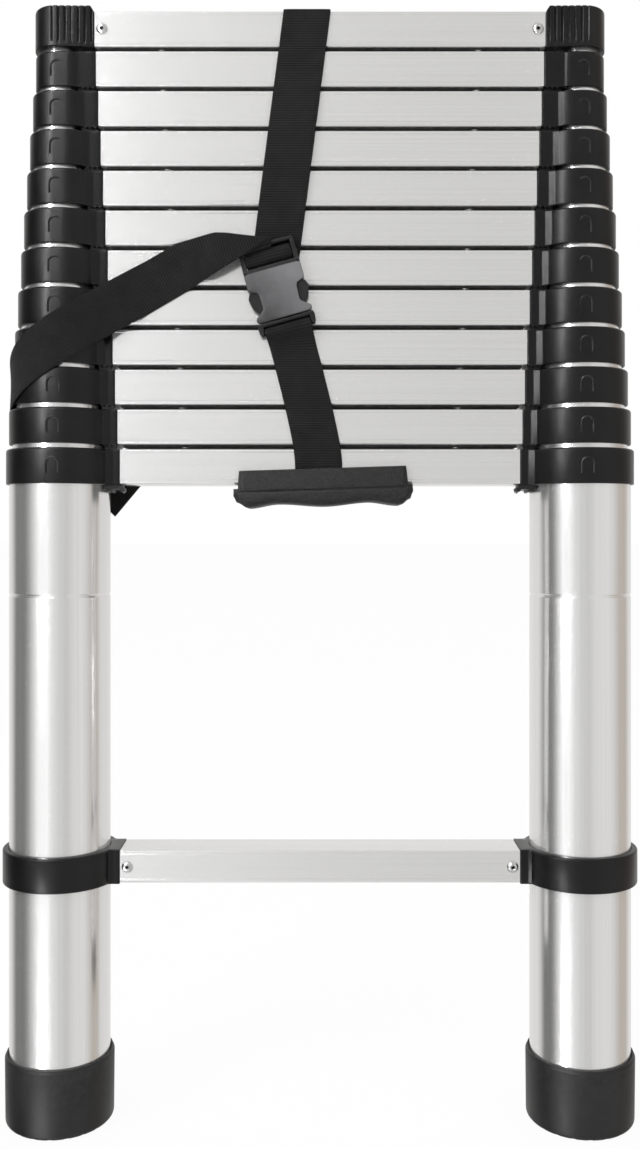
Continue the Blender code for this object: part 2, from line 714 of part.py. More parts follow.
def make_buckle_male(base, materials):
    """A slotted bar with two squeeze arms and a guide tongue between the plates of the other half."""
    half = BUCKLE_WIDTH / 2
    top = FEMALE_MOUTH - FIT
    bottom = top - MALE_BASE
    buckle = make_object("buckle_male", box((-half, half), (-BUCKLE_DEPTH, 0), (bottom, top)), materials["buckle"])
    cut(buckle, box((BUCKLE_SIDE_BAR - half, half - BUCKLE_SIDE_BAR), (-2 * BUCKLE_DEPTH, BUCKLE_DEPTH),
                    (bottom + BUCKLE_BAR, top - BUCKLE_BAR)))
    front = BUCKLE_DEPTH - FEMALE_FRONT_PLATE - FIT
    back = FEMALE_BACK_PLATE + FIT
    inner, root = half - ARM_INSET - ARM_WIDTH, top - BUCKLE_BAR / 2
    outer = half - ARM_INSET
    arm = [(inner, root), (outer, root), (outer, NOTCH_BOTTOM), (outer + ARM_WIDTH, NOTCH_BOTTOM + FIT),
           (half + ARM_BULGE, NOTCH_TOP - ARM_WIDTH), (half - FIT, NOTCH_TOP - FIT), (outer, ARM_REACH),
           (inner, ARM_REACH)]
    for side, _ in SIDES:
        outline = [(side * x, z) for x, z in arm]
        join(buckle, moved(prism(outline, back, front), (0, 0, 0), FACING_FRONT))
    tongue = TONGUE_WIDTH / 2
    join(buckle, box((-tongue, tongue), (-front, -back), (root, NOTCH_TOP)))
    finish(buckle, base, (BUCKLE_X, -BUCKLE_BACK, BUCKLE_HEIGHT), (0, BUCKLE_TILT, 0))


# Carry handle

def make_handle(base, materials):
    """A channel with a front panel, a grip below and a low back, hung on the strap round the first rung."""
    inside = STRAP_PLANE + STRAP_THICKNESS / 2 + FIT
    floor = -RUNG_HEIGHT / 2 - HANDLE_FLOOR_GAP
    panel, back = floor + HANDLE_FLOOR_GAP + HANDLE_PANEL_RISE, floor + HANDLE_FLOOR_GAP + HANDLE_BACK_RISE
    outside = inside + HANDLE_WALL
    grip, base_height = outside + GRIP_BULGE, floor - GRIP_HEIGHT
    section = [(-inside, panel), (-outside, panel), (-outside, floor + HANDLE_WALL / 2),
               (-grip, floor - HANDLE_WALL / 2), (-grip, base_height + GRIP_CORNER),
               (-grip + GRIP_CORNER, base_height), (outside - GRIP_CORNER, base_height),
               (outside, base_height + GRIP_CORNER), (outside, back), (inside, back),
               (inside, floor), (-inside, floor)]
    across = Matrix(((0, 0, 1, 0), (1, 0, 0, 0), (0, 1, 0, 0), (0, 0, 0, 1)))
    solid = moved(prism(section, -HANDLE_LENGTH / 2, HANDLE_LENGTH / 2), (0, 0, 0), across)
    handle = make_object("carry_handle", solid, materials["handle"])
    finish(handle, base, (HANDLE_X, 0, FIRST_LEVEL_HEIGHT), (0, HANDLE_TILT, 0))


# Assembly

def make_base(materials):
    base = make_body("base", (0, 0, 0), None)
    for side, word in SIDES:
        make_foot(side, word, base, materials)
        make_base_tube(side, word, base, materials)
        make_clamp(side, word, base, materials)
        make_first_collar(side, word, base, materials)
        make_latch_spring(side, word, base, materials)
        latch = make_body(f"latch_{word}_slide", (0, 0, FIRST_LEVEL_HEIGHT), base)
        make_latch(side, word, latch, materials)
    make_bottom_rung(base, materials)
    first_rung = rung_shell("rung_01", lug_reach(1), RUNG_HEIGHT, materials["aluminium"])
    finish(first_rung, base, (0, 0, FIRST_LEVEL_HEIGHT))
    make_lower_strap(base, materials)
    make_buckle_male(base, materials)
    make_handle(base, materials)
    return base


def make_top(section, materials):
    for side, word in SIDES:
        make_top_tube(side, word, section, materials)
        make_cap(side, word, section, materials)
    make_top_rung(section, materials)
    make_upper_strap(section, materials)
    make_tail(section, materials)
    make_buckle_female(section, materials)


def main():
    for old in list(bpy.data.objects):
        bpy.data.objects.remove(old)
    materials = make_materials()
    body = make_base(materials)
    below = 0
    for level in range(2, LEVELS + 1):
        body = make_body(f"section_{level:02d}", (0, 0, level_height(level) - below), body)
        below = level_height(level)
        if level == LEVELS:
            make_top(body, materials)
            continue
        make_section_frame(level, body, materials)
        for side, word in SIDES:
            make_sliding_collar(level, side, word, body, materials)


main()
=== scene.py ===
import math

import bmesh
import bpy
from mathutils import Matrix, Vector


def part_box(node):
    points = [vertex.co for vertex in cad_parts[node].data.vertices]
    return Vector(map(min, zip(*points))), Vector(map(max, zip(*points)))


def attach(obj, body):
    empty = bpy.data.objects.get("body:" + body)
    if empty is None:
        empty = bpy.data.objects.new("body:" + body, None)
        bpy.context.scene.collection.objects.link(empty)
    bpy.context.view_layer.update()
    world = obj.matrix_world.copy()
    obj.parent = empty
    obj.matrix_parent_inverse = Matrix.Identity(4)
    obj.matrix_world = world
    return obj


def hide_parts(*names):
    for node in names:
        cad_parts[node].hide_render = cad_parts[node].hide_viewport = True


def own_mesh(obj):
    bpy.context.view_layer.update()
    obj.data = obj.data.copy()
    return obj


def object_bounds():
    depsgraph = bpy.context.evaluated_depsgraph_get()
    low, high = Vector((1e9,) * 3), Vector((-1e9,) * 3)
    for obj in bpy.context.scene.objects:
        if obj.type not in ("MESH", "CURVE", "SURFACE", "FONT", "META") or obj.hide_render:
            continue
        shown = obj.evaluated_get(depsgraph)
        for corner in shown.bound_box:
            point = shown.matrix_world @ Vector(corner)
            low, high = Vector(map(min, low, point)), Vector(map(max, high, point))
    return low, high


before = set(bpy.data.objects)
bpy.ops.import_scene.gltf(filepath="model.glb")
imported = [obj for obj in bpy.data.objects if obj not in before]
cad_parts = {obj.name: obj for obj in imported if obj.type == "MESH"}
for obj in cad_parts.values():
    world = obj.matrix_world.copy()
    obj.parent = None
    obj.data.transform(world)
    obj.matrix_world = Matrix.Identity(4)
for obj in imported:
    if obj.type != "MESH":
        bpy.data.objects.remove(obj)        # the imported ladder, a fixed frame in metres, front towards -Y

cadLow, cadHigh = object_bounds()    # the frame's box, before anything is dressed
print("frame loaded:", len(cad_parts), "nodes")

# Measures read from the frame
mm = 0.001
sides = ((-1, "left"), (1, "right"))
levels = 12
seatGap = 0.3 * mm       # kept between pieces that touch


def middle(node):
    low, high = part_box(node)
    return (low + high) / 2


stileX = middle("base_tube_right").x
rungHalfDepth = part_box("rung_01")[1].y


def ringNode(level, word="right"):
    return f"cap_{word}" if level == levels else f"collar_{level:02d}_{word}"


def bodyOf(level):
    return "base" if level == 1 else f"section_{level:02d}"


def levelZ(level):
    return middle("rung_12" if level == levels else ringNode(level)).z


def ringRadius(level):
    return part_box(ringNode(level))[1].x - stileX


def lugReach(level):
    if level in (1, levels):
        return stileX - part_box(f"rung_{level:02d}")[1].x - seatGap
    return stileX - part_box(ringNode(level))[0].x


def tubeRadius(level):
    ends = {1: "base_tube_right", levels: "top_tube_right"}
    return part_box(ends.get(level, f"section_{level:02d}_frame"))[1].x - stileX


rungLow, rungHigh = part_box("rung_01")
rungHalfHeight = (rungHigh.z - rungLow.z) / 2
closedGap = levelZ(2) - levelZ(1) - 2 * rungHalfHeight
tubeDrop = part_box("collar_01_right")[1].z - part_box("base_tube_right")[1].z    # tube end below its collar's top


# Mesh helpers

wearAngles = {"starts": 0.25, "full": 0.6}    # radians between two faces


def loft(bm, rows, roundRow=True, roundStack=False):
    made = [[bm.verts.new(point) for point in row] for row in rows]
    pairs = list(zip(made, made[1:]))
    if roundStack:
        pairs.append((made[-1], made[0]))
    for row, following in pairs:
        for i in range(len(row) if roundRow else len(row) - 1):
            j = (i + 1) % len(row)
            bm.faces.new((row[i], row[j], following[j], following[i]))
    return made


def addSolid(bm, rows):    # a loft with both ends closed
    made = loft(bm, rows)
    bm.faces.new(made[0])
    bm.faces.new(made[-1])
    return made


def stacked(outline, heights):    # rows of an (x, y) outline
    return [[Vector((x, y, z)) for x, y in outline] for z in heights]


def ringOf(radius, height, segments, centre=(0, 0)):
    turns = [2 * math.pi * i / segments for i in range(segments)]
    return [Vector((centre[0] + radius * math.cos(a), centre[1] + radius * math.sin(a), height)) for a in turns]


def arc(centre, radius, start, end, steps):
    angles = [math.radians(start + (end - start) * i / steps) for i in range(steps + 1)]
    return [(centre[0] + radius * math.cos(a), centre[1] + radius * math.sin(a)) for a in angles]


def smooth(low, high, value):
    share = min(1, max(0, (value - low) / (high - low)))
    return share * share * (3 - 2 * share)


def through(knots, at):    # a soft curve through (place, value) knots
    if at <= knots[0][0]:
        return knots[0][1]
    for (a, low), (b, high) in zip(knots, knots[1:]):
        if at <= b:
            return low + (high - low) * smooth(a, b, at)
    return knots[-1][1]


def markEdges(bm):    # a mask of the convex edges, for wear
    layer = bm.verts.layers.float.new("edge")
    starts, span = wearAngles["starts"], wearAngles["full"] - wearAngles["starts"]
    for edge in bm.edges:
        if len(edge.link_faces) == 2 and edge.is_convex:
            wear = min(1, max(0, (edge.calc_face_angle(0) - starts) / span))
            for corner in edge.verts:
                corner[layer] = max(corner[layer], wear)


def finishPiece(name, bm, looks, body, slot, *nodes, sharp=34):
    bmesh.ops.remove_doubles(bm, verts=bm.verts, dist=2e-6)
    bmesh.ops.recalc_face_normals(bm, faces=bm.faces)
    markEdges(bm)
    mesh = bpy.data.meshes.new(name)
    bm.to_mesh(mesh)
    bm.free()
    for look in looks:
        mesh.materials.append(look)
    mesh.shade_smooth()
    mesh.set_sharp_from_angle(angle=math.radians(sharp))
    piece = bpy.data.objects.new(name, mesh)
    bpy.context.scene.collection.objects.link(piece)
    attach(piece, body)
    if nodes:
        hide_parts(*nodes)
    return piece


def onStile(bm, side, height=0.0):    # pieces are drawn with +X from the stile's axis towards the rungs
    bm.transform(Matrix.Translation((side * stileX, 0, height)) @ Matrix.Diagonal((-side, 1, 1, 1)))


# Shader helpers

def setInputs(tree, node, inputs):
    for key, value in inputs.items():
        if isinstance(value, bpy.types.NodeSocket):
            tree.links.new(value, node.inputs[key])
        else:
            node.inputs[key].default_value = value


def place(tree, kind, inputs=None, **settings):
    node = tree.nodes.new("ShaderNode" + kind)
    for key, value in settings.items():
        setattr(node, key, value)
    setInputs(tree, node, inputs or {})
    return node


def calc(tree, operation, *values):
    return place(tree, "Math", dict(enumerate(values)), operation=operation).outputs[0]


def spread(tree, value, low, high, toLow=0.0, toHigh=1.0):
    inputs = {"Value": value, "From Min": low, "From Max": high, "To Min": toLow, "To Max": toHigh}
    return place(tree, "MapRange", inputs).outputs[0]


def between(tree, share, atZero, atOne):
    return spread(tree, share, 0.0, 1.0, atZero, atOne)


def blendColours(tree, factor, first, second):
    inputs = {0: factor, 6: first, 7: second}
    return place(tree, "Mix", inputs, data_type="RGBA").outputs[2]


def noise(tree, vector, scale, detail=3.0, roughness=0.55):
    inputs = {"Vector": vector, "Scale": scale, "Detail": detail, "Roughness": roughness}
    return place(tree, "TexNoise", inputs).outputs["Fac"]


def attribute(tree, name):
    return place(tree, "Attribute", attribute_name=name).outputs["Fac"]


def axes(tree, vector):
    return place(tree, "SeparateXYZ", {"Vector": vector}).outputs


def newGroup(name, **numbers):    # an effect that takes a vector and some numbers
    group = bpy.data.node_groups.new(name, "ShaderNodeTree")
    group.interface.new_socket("Vector", in_out="INPUT", socket_type="NodeSocketVector")
    for label, value in numbers.items():
        group.interface.new_socket(label, in_out="INPUT", socket_type="NodeSocketFloat").default_value = value
    return group, group.nodes.new("NodeGroupInput").outputs


def give(group, **values):    # the effect's outputs
    for label in values:
        group.interface.new_socket(label, in_out="OUTPUT", socket_type="NodeSocketFloat")
    setInputs(group, group.nodes.new("NodeGroupOutput"), values)
    return group


def makeExtrusionLines():    # drawn lines and streaks of extruded metal; the vector is stretched along them
    group, takes = newGroup("extrusionLines")
    broad = noise(group, takes["Vector"], 1.0, 4.0, 0.6)
    fine = noise(group, takes["Vector"], 5.0, 2.0, 0.5)
    height = calc(group, "MULTIPLY_ADD", fine, 0.45, calc(group, "MULTIPLY", broad, 0.55))
    return give(group, Height=height, Streak=spread(group, broad, 0.3, 0.7))


def makeMouldGrain():    # fine pitted grain left by a textured mould
    group, takes = newGroup("mouldGrain", Scale=1500.0)
    pits = noise(group, takes["Vector"], takes["Scale"], 2.0, 0.6)
    wide = noise(group, takes["Vector"], calc(group, "MULTIPLY", takes["Scale"], 0.03), 3.0, 0.6)
    return give(group, Height=spread(group, pits, 0.35, 0.65), Mottle=spread(group, wide, 0.3, 0.7))


def makeEdgeWear():    # rubbed edges, broken up by noise
    group, takes = newGroup("edgeWear", Amount=0.5)
    broken = spread(group, noise(group, takes["Vector"], 260.0, 4.0, 0.65), 0.38, 0.7)
    worn = calc(group, "MULTIPLY", attribute(group, "edge"), broken)
    return give(group, Mask=calc(group, "MULTIPLY", worn, takes["Amount"]))


def makeHandMarks():    # soft smudges and fine rubs from handling
    group, takes = newGroup("handMarks", Scale=22.0)
    cloud = noise(group, takes["Vector"], takes["Scale"], 5.0, 0.62)
    lie = {"Vector": takes["Vector"], "Rotation": (0.5, 0.7, 0.35), "Scale": (40.0, 900.0, 60.0)}
    tilted = place(group, "Mapping", lie).outputs[0]
    rub = spread(group, noise(group, tilted, 1.0, 2.0), 0.66, 0.76)
    return give(group, Smudge=spread(group, cloud, 0.4, 0.72), Rub=rub)


def makeSettledDust():    # a little pale dust where a surface looks up
    group, takes = newGroup("settledDust")
    up = axes(group, place(group, "NewGeometry").outputs["Normal"])["Z"]
    grains = spread(group, noise(group, takes["Vector"], 420.0, 4.0, 0.7), 0.4, 0.75)
    return give(group, Mask=calc(group, "MULTIPLY", spread(group, up, 0.35, 1.0), grains))


def makeWovenRibs():    # plain weave; the vector holds the places across and along a strap, in metres
    group, takes = newGroup("wovenRibs", Yarn=1.2 * mm, Rib=1.5 * mm)
    at = axes(group, takes["Vector"])
    waves = []
    for where, pitch in ((at["X"], takes["Yarn"]), (at["Y"], takes["Rib"])):
        turn = calc(group, "MULTIPLY", calc(group, "DIVIDE", where, pitch), math.pi)
        waves.append(calc(group, "ABSOLUTE", calc(group, "SINE", turn)))
    yarn, rib = waves
    height = calc(group, "MULTIPLY_ADD", rib, 0.75, calc(group, "MULTIPLY", yarn, 0.25))
    # the shade output is painted shade down in the weave and painted light on its crowns
    return give(group, Height=height, Shade=spread(group, height, 0.25, 1.0))


extrusionLines = makeExtrusionLines()
mouldGrain = makeMouldGrain()
edgeWear = makeEdgeWear()
handMarks = makeHandMarks()
settledDust = makeSettledDust()
wovenRibs = makeWovenRibs()
print("shared effects ready")


# Finishes

def newFinish(name):
    material = bpy.data.materials.new(name)
    material.use_nodes = True
    tree = material.node_tree
    return material, tree, tree.nodes["Principled BSDF"]


def useGroup(tree, group, **inputs):
    return place(tree, "Group", inputs, node_tree=group).outputs


def objectPlace(tree, stretch=(1.0, 1.0, 1.0)):
    coordinates = place(tree, "TexCoord").outputs["Object"]
    return place(tree, "Mapping", {"Vector": coordinates, "Scale": stretch}).outputs[0]


def bump(tree, height, strength, distance):
    return place(tree, "Bump", {"Height": height, "Strength": strength, "Distance": distance}).outputs["Normal"]


aluminiumLook = {"dull": (0.785, 0.78, 0.772, 1), "bright": (0.83, 0.83, 0.826, 1),
                 "rungRough": 0.14, "tubeRough": 0.13, "mattness": 0.05, "lineDepth": 0.03 * mm}


def makeAluminium(name, stretch, smoothest, metallic):
    material, tree, shader = newFinish(name)
    lines = useGroup(tree, extrusionLines, Vector=objectPlace(tree, stretch))
    marks = useGroup(tree, handMarks, Vector=objectPlace(tree), Scale=14.0)
    drawn = between(tree, lines["Streak"], smoothest + aluminiumLook["mattness"], smoothest)
    smudged = calc(tree, "MULTIPLY_ADD", marks["Smudge"], 0.03, drawn)
    setInputs(tree, shader, {
        "Base Color": blendColours(tree, lines["Streak"], aluminiumLook["dull"], aluminiumLook["bright"]),
        "Roughness": calc(tree, "MULTIPLY_ADD", marks["Rub"], 0.03, smudged),
        "Metallic": metallic,
        "Normal": bump(tree, lines["Height"], 0.1, aluminiumLook["lineDepth"])})
    return material


def mouldedColour(tree, where, look, pattern):    # the grain, and its two tones with paler rubbed edges
    grain = useGroup(tree, mouldGrain, Vector=where, Scale=look["grain"])
    wear = useGroup(tree, edgeWear, Vector=where, Amount=look["wear"])
    tones = blendColours(tree, grain[pattern], look["dark"], look["light"])
    return grain, blendColours(tree, wear["Mask"], tones, look["worn"])


plasticLook = {"dark": (0.0035, 0.0035, 0.0038, 1), "light": (0.0065, 0.0065, 0.007, 1),
               "worn": (0.045, 0.045, 0.047, 1), "wear": 0.55, "ringRough": 0.29, "lugRough": 0.16,
               "gloss": 0.27, "grain": 1700.0, "grainDepth": 0.05 * mm}


def makeCollarPlastic():
    material, tree, shader = newFinish("collarPlastic")
    where = objectPlace(tree)
    grain, colour = mouldedColour(tree, where, plasticLook, "Mottle")
    marks = useGroup(tree, handMarks, Vector=where, Scale=30.0)
    moulded = between(tree, attribute(tree, "polish"), plasticLook["ringRough"], plasticLook["lugRough"])
    setInputs(tree, shader, {
        "Base Color": colour,
        "Roughness": calc(tree, "MULTIPLY_ADD", marks["Smudge"], 0.08, moulded),
        "Specular IOR Level": plasticLook["gloss"],
        "Normal": bump(tree, grain["Height"], 0.28, plasticLook["grainDepth"])})
    return material


rubberLook = {"dark": (0.008, 0.008, 0.0084, 1), "light": (0.013, 0.013, 0.0134, 1),
              "worn": (0.045, 0.045, 0.045, 1), "wear": 0.5, "dusty": (0.12, 0.115, 0.11, 1), "dust": 0.12,
              "rough": (0.4, 0.5), "grain": 1100.0, "grainDepth": 0.07 * mm}


def makeRubber(name, gloss):
    material, tree, shader = newFinish(name)
    where = objectPlace(tree)
    grain, colour = mouldedColour(tree, where, rubberLook, "Mottle")
    dust = calc(tree, "MULTIPLY", useGroup(tree, settledDust, Vector=where)["Mask"], rubberLook["dust"])
    setInputs(tree, shader, {
        "Base Color": blendColours(tree, dust, colour, rubberLook["dusty"]),
        "Roughness": between(tree, grain["Mottle"], *rubberLook["rough"]),
        "Specular IOR Level": gloss,
        "Normal": bump(tree, grain["Height"], 0.4, rubberLook["grainDepth"])})
    return material


# the valley and crown colours are painted shade in the weave's hollows and painted light on its crowns
webbingLook = {"valleyShade": (0.0025, 0.0025, 0.0026, 1), "crown": (0.019, 0.019, 0.0186, 1), "rib": 1.9 * mm,
               "yarn": 1.25 * mm, "ribHeight": 0.22 * mm, "fuzz": 2600.0, "rough": (0.72, 0.9)}


def makeWebbing():
    material, tree, shader = newFinish("strapWebbing")
    spot = place(tree, "CombineXYZ", {"X": attribute(tree, "across"), "Y": attribute(tree, "along")}).outputs[0]
    weave = useGroup(tree, wovenRibs, Vector=spot, Rib=webbingLook["rib"], Yarn=webbingLook["yarn"])
    fuzz = useGroup(tree, mouldGrain, Vector=objectPlace(tree), Scale=webbingLook["fuzz"])
    paintedWeaveShade = calc(tree, "MULTIPLY", weave["Shade"], between(tree, fuzz["Height"], 0.75, 1.1))
    thread = calc(tree, "MULTIPLY_ADD", fuzz["Height"], 0.12, weave["Height"])
    setInputs(tree, shader, {
        "Base Color": blendColours(tree, paintedWeaveShade, webbingLook["valleyShade"], webbingLook["crown"]),
        "Roughness": between(tree, fuzz["Mottle"], *webbingLook["rough"]),
        "Specular IOR Level": 0.14, "Sheen Weight": 0.04, "Sheen Roughness": 0.45,
        "Normal": bump(tree, thread, 0.8, webbingLook["ribHeight"])})
    return material


# grey to pale, and black to dark, each span a painted sheen that is paler towards the buckle's lit corner
buckleLook = {"grey": (0.032, 0.0317, 0.0328, 1), "pale": (0.19, 0.188, 0.195, 1),
              "black": (0.009, 0.009, 0.0094, 1), "dark": (0.02, 0.02, 0.0206, 1),
              "rim": (0.004, 0.004, 0.0042, 1), "gloss": 0.3, "rough": (0.38, 0.48), "grain": 2000.0,
              "grainDepth": 0.05 * mm}


def makeBucklePlastic(name, low, high):
    material, tree, shader = newFinish(name)
    grain = useGroup(tree, mouldGrain, Vector=objectPlace(tree), Scale=buckleLook["grain"])
    spot = axes(tree, place(tree, "TexCoord").outputs["Generated"])
    # painted sheen: the colour turns paler towards one corner, where light falls on the buckle
    corner = calc(tree, "ADD", spot["X"], spot["Z"])    # the buckle is paler towards one corner
    paintedSheen = spread(tree, corner, 0.5, 1.35, 0.0, 0.85)
    tone = calc(tree, "MULTIPLY_ADD", grain["Mottle"], 0.2, paintedSheen)
    # painted shade: rims, and pieces made only of rims, darken towards the near-black rim colour
    rim = spread(tree, attribute(tree, "edge"), 0.4, 0.85)
    setInputs(tree, shader, {
        "Base Color": blendColours(tree, rim, blendColours(tree, tone, low, high), buckleLook["rim"]),
        "Roughness": between(tree, grain["Mottle"], *buckleLook["rough"]),
        "Specular IOR Level": buckleLook["gloss"],
        "Normal": bump(tree, grain["Height"], 0.35, buckleLook["grainDepth"])})
    return material


handleLook = {"dark": (0.0035, 0.0034, 0.0036, 1), "light": (0.0155, 0.0152, 0.0152, 1),
              "worn": (0.075, 0.072, 0.068, 1), "wear": 0.5, "gloss": 0.32, "rough": (0.5, 0.62),
              "grain": 620.0, "grainDepth": 0.16 * mm}


def makeHandlePlastic():
    material, tree, shader = newFinish("handlePlastic")
    # the tones follow the grain's height: painted shade in its pits and painted light on its crowns
    grain, colour = mouldedColour(tree, objectPlace(tree), handleLook, "Height")
    setInputs(tree, shader, {
        "Base Color": colour,
        "Roughness": between(tree, grain["Mottle"], *handleLook["rough"]),
        "Specular IOR Level": handleLook["gloss"],
        "Normal": bump(tree, grain["Height"], 0.7, handleLook["grainDepth"])})
    return material


steelLook = {"bright": (0.68, 0.68, 0.68, 1), "grey": (0.52, 0.52, 0.53, 1), "holeShade": (0.03, 0.03, 0.031, 1),
             "smudge": 160.0, "dulling": 0.12}


def makeSteel(name, first, second, smoothest):
    material, tree, shader = newFinish(name)
    smudge = useGroup(tree, handMarks, Vector=objectPlace(tree), Scale=steelLook["smudge"])["Smudge"]
    setInputs(tree, shader, {
        "Base Color": blendColours(tree, smudge, first, second),
        "Roughness": between(tree, smudge, smoothest, smoothest + steelLook["dulling"]),
        "Metallic": 1.0})
    return material


rungMetal = makeAluminium("rungAluminium", (3.0, 900.0, 900.0), aluminiumLook["rungRough"], 0.74)
tubeMetal = makeAluminium("tubeAluminium", (700.0, 700.0, 2.5), aluminiumLook["tubeRough"], 0.84)
rivetMetal = makeSteel("rivetMetal", steelLook["bright"], steelLook["grey"], 0.22)
rivetHoleShade = makeSteel("rivetHoleShade", steelLook["holeShade"], steelLook["holeShade"], 0.6)
springSteel = makeSteel("springSteel", steelLook["grey"], steelLook["bright"], 0.2)
collarPlastic = makeCollarPlastic()
footRubber = makeRubber("footRubber", 0.36)
# painted shade: the buffers' dark rubber fills the gaps between rungs where shade falls
gapShadeRubber = makeRubber("gapShadeRubber", 0.08)
strapWebbing = makeWebbing()
bucklePlastic = makeBucklePlastic("bucklePlastic", buckleLook["grey"], buckleLook["pale"])
prongPlastic = makeBucklePlastic("prongPlastic", buckleLook["black"], buckleLook["dark"])
handlePlastic = makeHandlePlastic()
print("finishes ready")


# Camera and studio: level view from the front, plain pale floor, soft light from the left

imageHeight = 1149       # pixels of the 640 wide picture
white = (1, 1, 1, 1)
cameraLook = {"distance": 0.880, "height": 0.442, "focalPixels": 1154, "horizonRow": 535}
studioLook = {"ambient": 0.78, "floorWhite": 0.94, "floorColour": (0.95, 0.95, 0.95, 1), "floorSize": 60,
              "floorDrop": 0.05 * mm, "wallRadius": 1.05, "wallReach": 9.0, "wallSegments": 96,
              "keyPower": 60.0, "keySize": 1.8, "keyPlace": (-2.2, -2.2, 2.5)}
# bright panels on the left that black plastic shines under: degrees, lowest and highest edges, brightness
panelLook = {"turns": (-40, -33.5), "heights": ((-0.65, -0.2), (0.5, 2.4)), "level": 25.0, "inset": 0.01}
# what polished faces see round the room: degrees from straight ahead towards the right, and the colour there
roomTones = ((-180, (0.84, 0.83, 0.82)), (-125, (0.80, 0.79, 0.775)), (-113, (0.60, 0.59, 0.58)),
             (-100, (0.07, 0.069, 0.068)), (-76, (0.05, 0.049, 0.048)), (-66, (0.26, 0.257, 0.254)),
             (-59, (0.55, 0.55, 0.55)), (-52, (0.80, 0.80, 0.80)), (-45, (1.14, 1.14, 1.15)),
             (-25, (1.14, 1.14, 1.15)), (-16, (0.84, 0.84, 0.845)),
             (0, (0.68, 0.677, 0.67)), (18, (0.60, 0.595, 0.585)), (32, (0.76, 0.755, 0.745)),
             (60, (0.82, 0.815, 0.805)), (73, (0.70, 0.69, 0.675)), (86, (0.52, 0.465, 0.41)),
             (106, (0.52, 0.465, 0.41)), (118, (0.80, 0.79, 0.78)), (180, (0.84, 0.83, 0.82)))


def makeCamera():
    camera = bpy.data.cameras.new("camera")
    camera.sensor_width = 36.0
    camera.lens = camera.sensor_width * cameraLook["focalPixels"] / imageHeight
    camera.shift_y = (cameraLook["horizonRow"] - imageHeight / 2) / imageHeight
    camera.clip_start = 0.01
    view = bpy.data.objects.new("camera", camera)
    view.location = (0, -cameraLook["distance"], cameraLook["height"])
    view.rotation_euler = (math.pi / 2, 0, 0)
    bpy.context.scene.collection.objects.link(view)
    bpy.context.scene.camera = view


def seenDirectly(tree):    # 1 for camera, glossy and transmission rays
    rays = place(tree, "LightPath").outputs
    seen = calc(tree, "MAXIMUM", rays["Is Camera Ray"], rays["Is Glossy Ray"])
    return calc(tree, "MAXIMUM", seen, rays["Is Transmission Ray"])


def makeWorld():
    world = bpy.data.worlds.new("paleRoom")
    world.use_nodes = True
    tree = world.node_tree
    level = between(tree, seenDirectly(tree), studioLook["ambient"], 1.0)
    setInputs(tree, tree.nodes["Background"], {"Color": white, "Strength": level})
    bpy.context.scene.world = world


def stageFinish(name):    # a material with no shader yet
    material, tree, shader = newFinish(name)
    tree.nodes.remove(shader)
    return material, tree


def emission(tree, colour, strength):
    return place(tree, "Emission", {"Color": colour, "Strength": strength}).outputs[0]


def stagePiece(bm, material, surface):
    setInputs(material.node_tree, material.node_tree.nodes["Material Output"], {"Surface": surface})
    mesh = bpy.data.meshes.new(material.name)
    bm.to_mesh(mesh)
    bm.free()
    mesh.materials.append(material)
    piece = bpy.data.objects.new(material.name, mesh)
    bpy.context.scene.collection.objects.link(piece)
    return piece


def onlyReflected(piece):
    piece.active_material.cycles.emission_sampling = "NONE"
    for ray in ("camera", "diffuse", "transmission", "volume_scatter", "shadow"):
        setattr(piece, "visible_" + ray, False)


def makeFloor():
    material, tree = stageFinish("floor")
    matt = place(tree, "BsdfDiffuse", {"Color": studioLook["floorColour"]}).outputs[0]
    share = calc(tree, "MULTIPLY", seenDirectly(tree), studioLook["floorWhite"])
    mixed = place(tree, "MixShader", {0: share, 1: matt, 2: emission(tree, white, 1.0)}).outputs[0]
    bm = bmesh.new()
    bmesh.ops.create_grid(bm, x_segments=1, y_segments=1, size=studioLook["floorSize"])
    bm.transform(Matrix.Translation((0, 0, cadLow.z - studioLook["floorDrop"])))
    stagePiece(bm, material, mixed).visible_glossy = False    # polished faces see the room's tones instead


def makeRoomTones():    # a wall that only reflections see, toned by direction
    material, tree = stageFinish("roomTones")
    at = axes(tree, place(tree, "NewGeometry").outputs["Position"])
    turn = calc(tree, "ARCTAN2", at["X"], calc(tree, "MULTIPLY", at["Y"], -1.0))
    ramp = place(tree, "ValToRGB", {"Fac": spread(tree, turn, -math.pi, math.pi)})
    stops = ramp.color_ramp.elements
    while len(stops) < len(roomTones):
        stops.new(0.5)
    brightest = max(max(tone) for _, tone in roomTones)
    for stop, (degrees, tone) in zip(stops, roomTones):
        stop.position = (degrees + 180) / 360
        stop.color = (*(part / brightest for part in tone), 1)
    bm = bmesh.new()
    ends = (cadLow.z - studioLook["wallReach"], cadHigh.z + studioLook["wallReach"])
    loft(bm, [ringOf(studioLook["wallRadius"], z, studioLook["wallSegments"]) for z in ends])
    onlyReflected(stagePiece(bm, material, emission(tree, ramp.outputs["Color"], brightest)))


def makeLightPanels():
    material, tree = stageFinish("lightPanels")
    start, end = (turn - 90 for turn in panelLook["turns"])
    bow = arc((0, 0), studioLook["wallRadius"] - panelLook["inset"], start, end, 8)
    bm = bmesh.new()
    for edges in panelLook["heights"]:
        loft(bm, stacked(bow, edges), roundRow=False)
    onlyReflected(stagePiece(bm, material, emission(tree, white, panelLook["level"])))


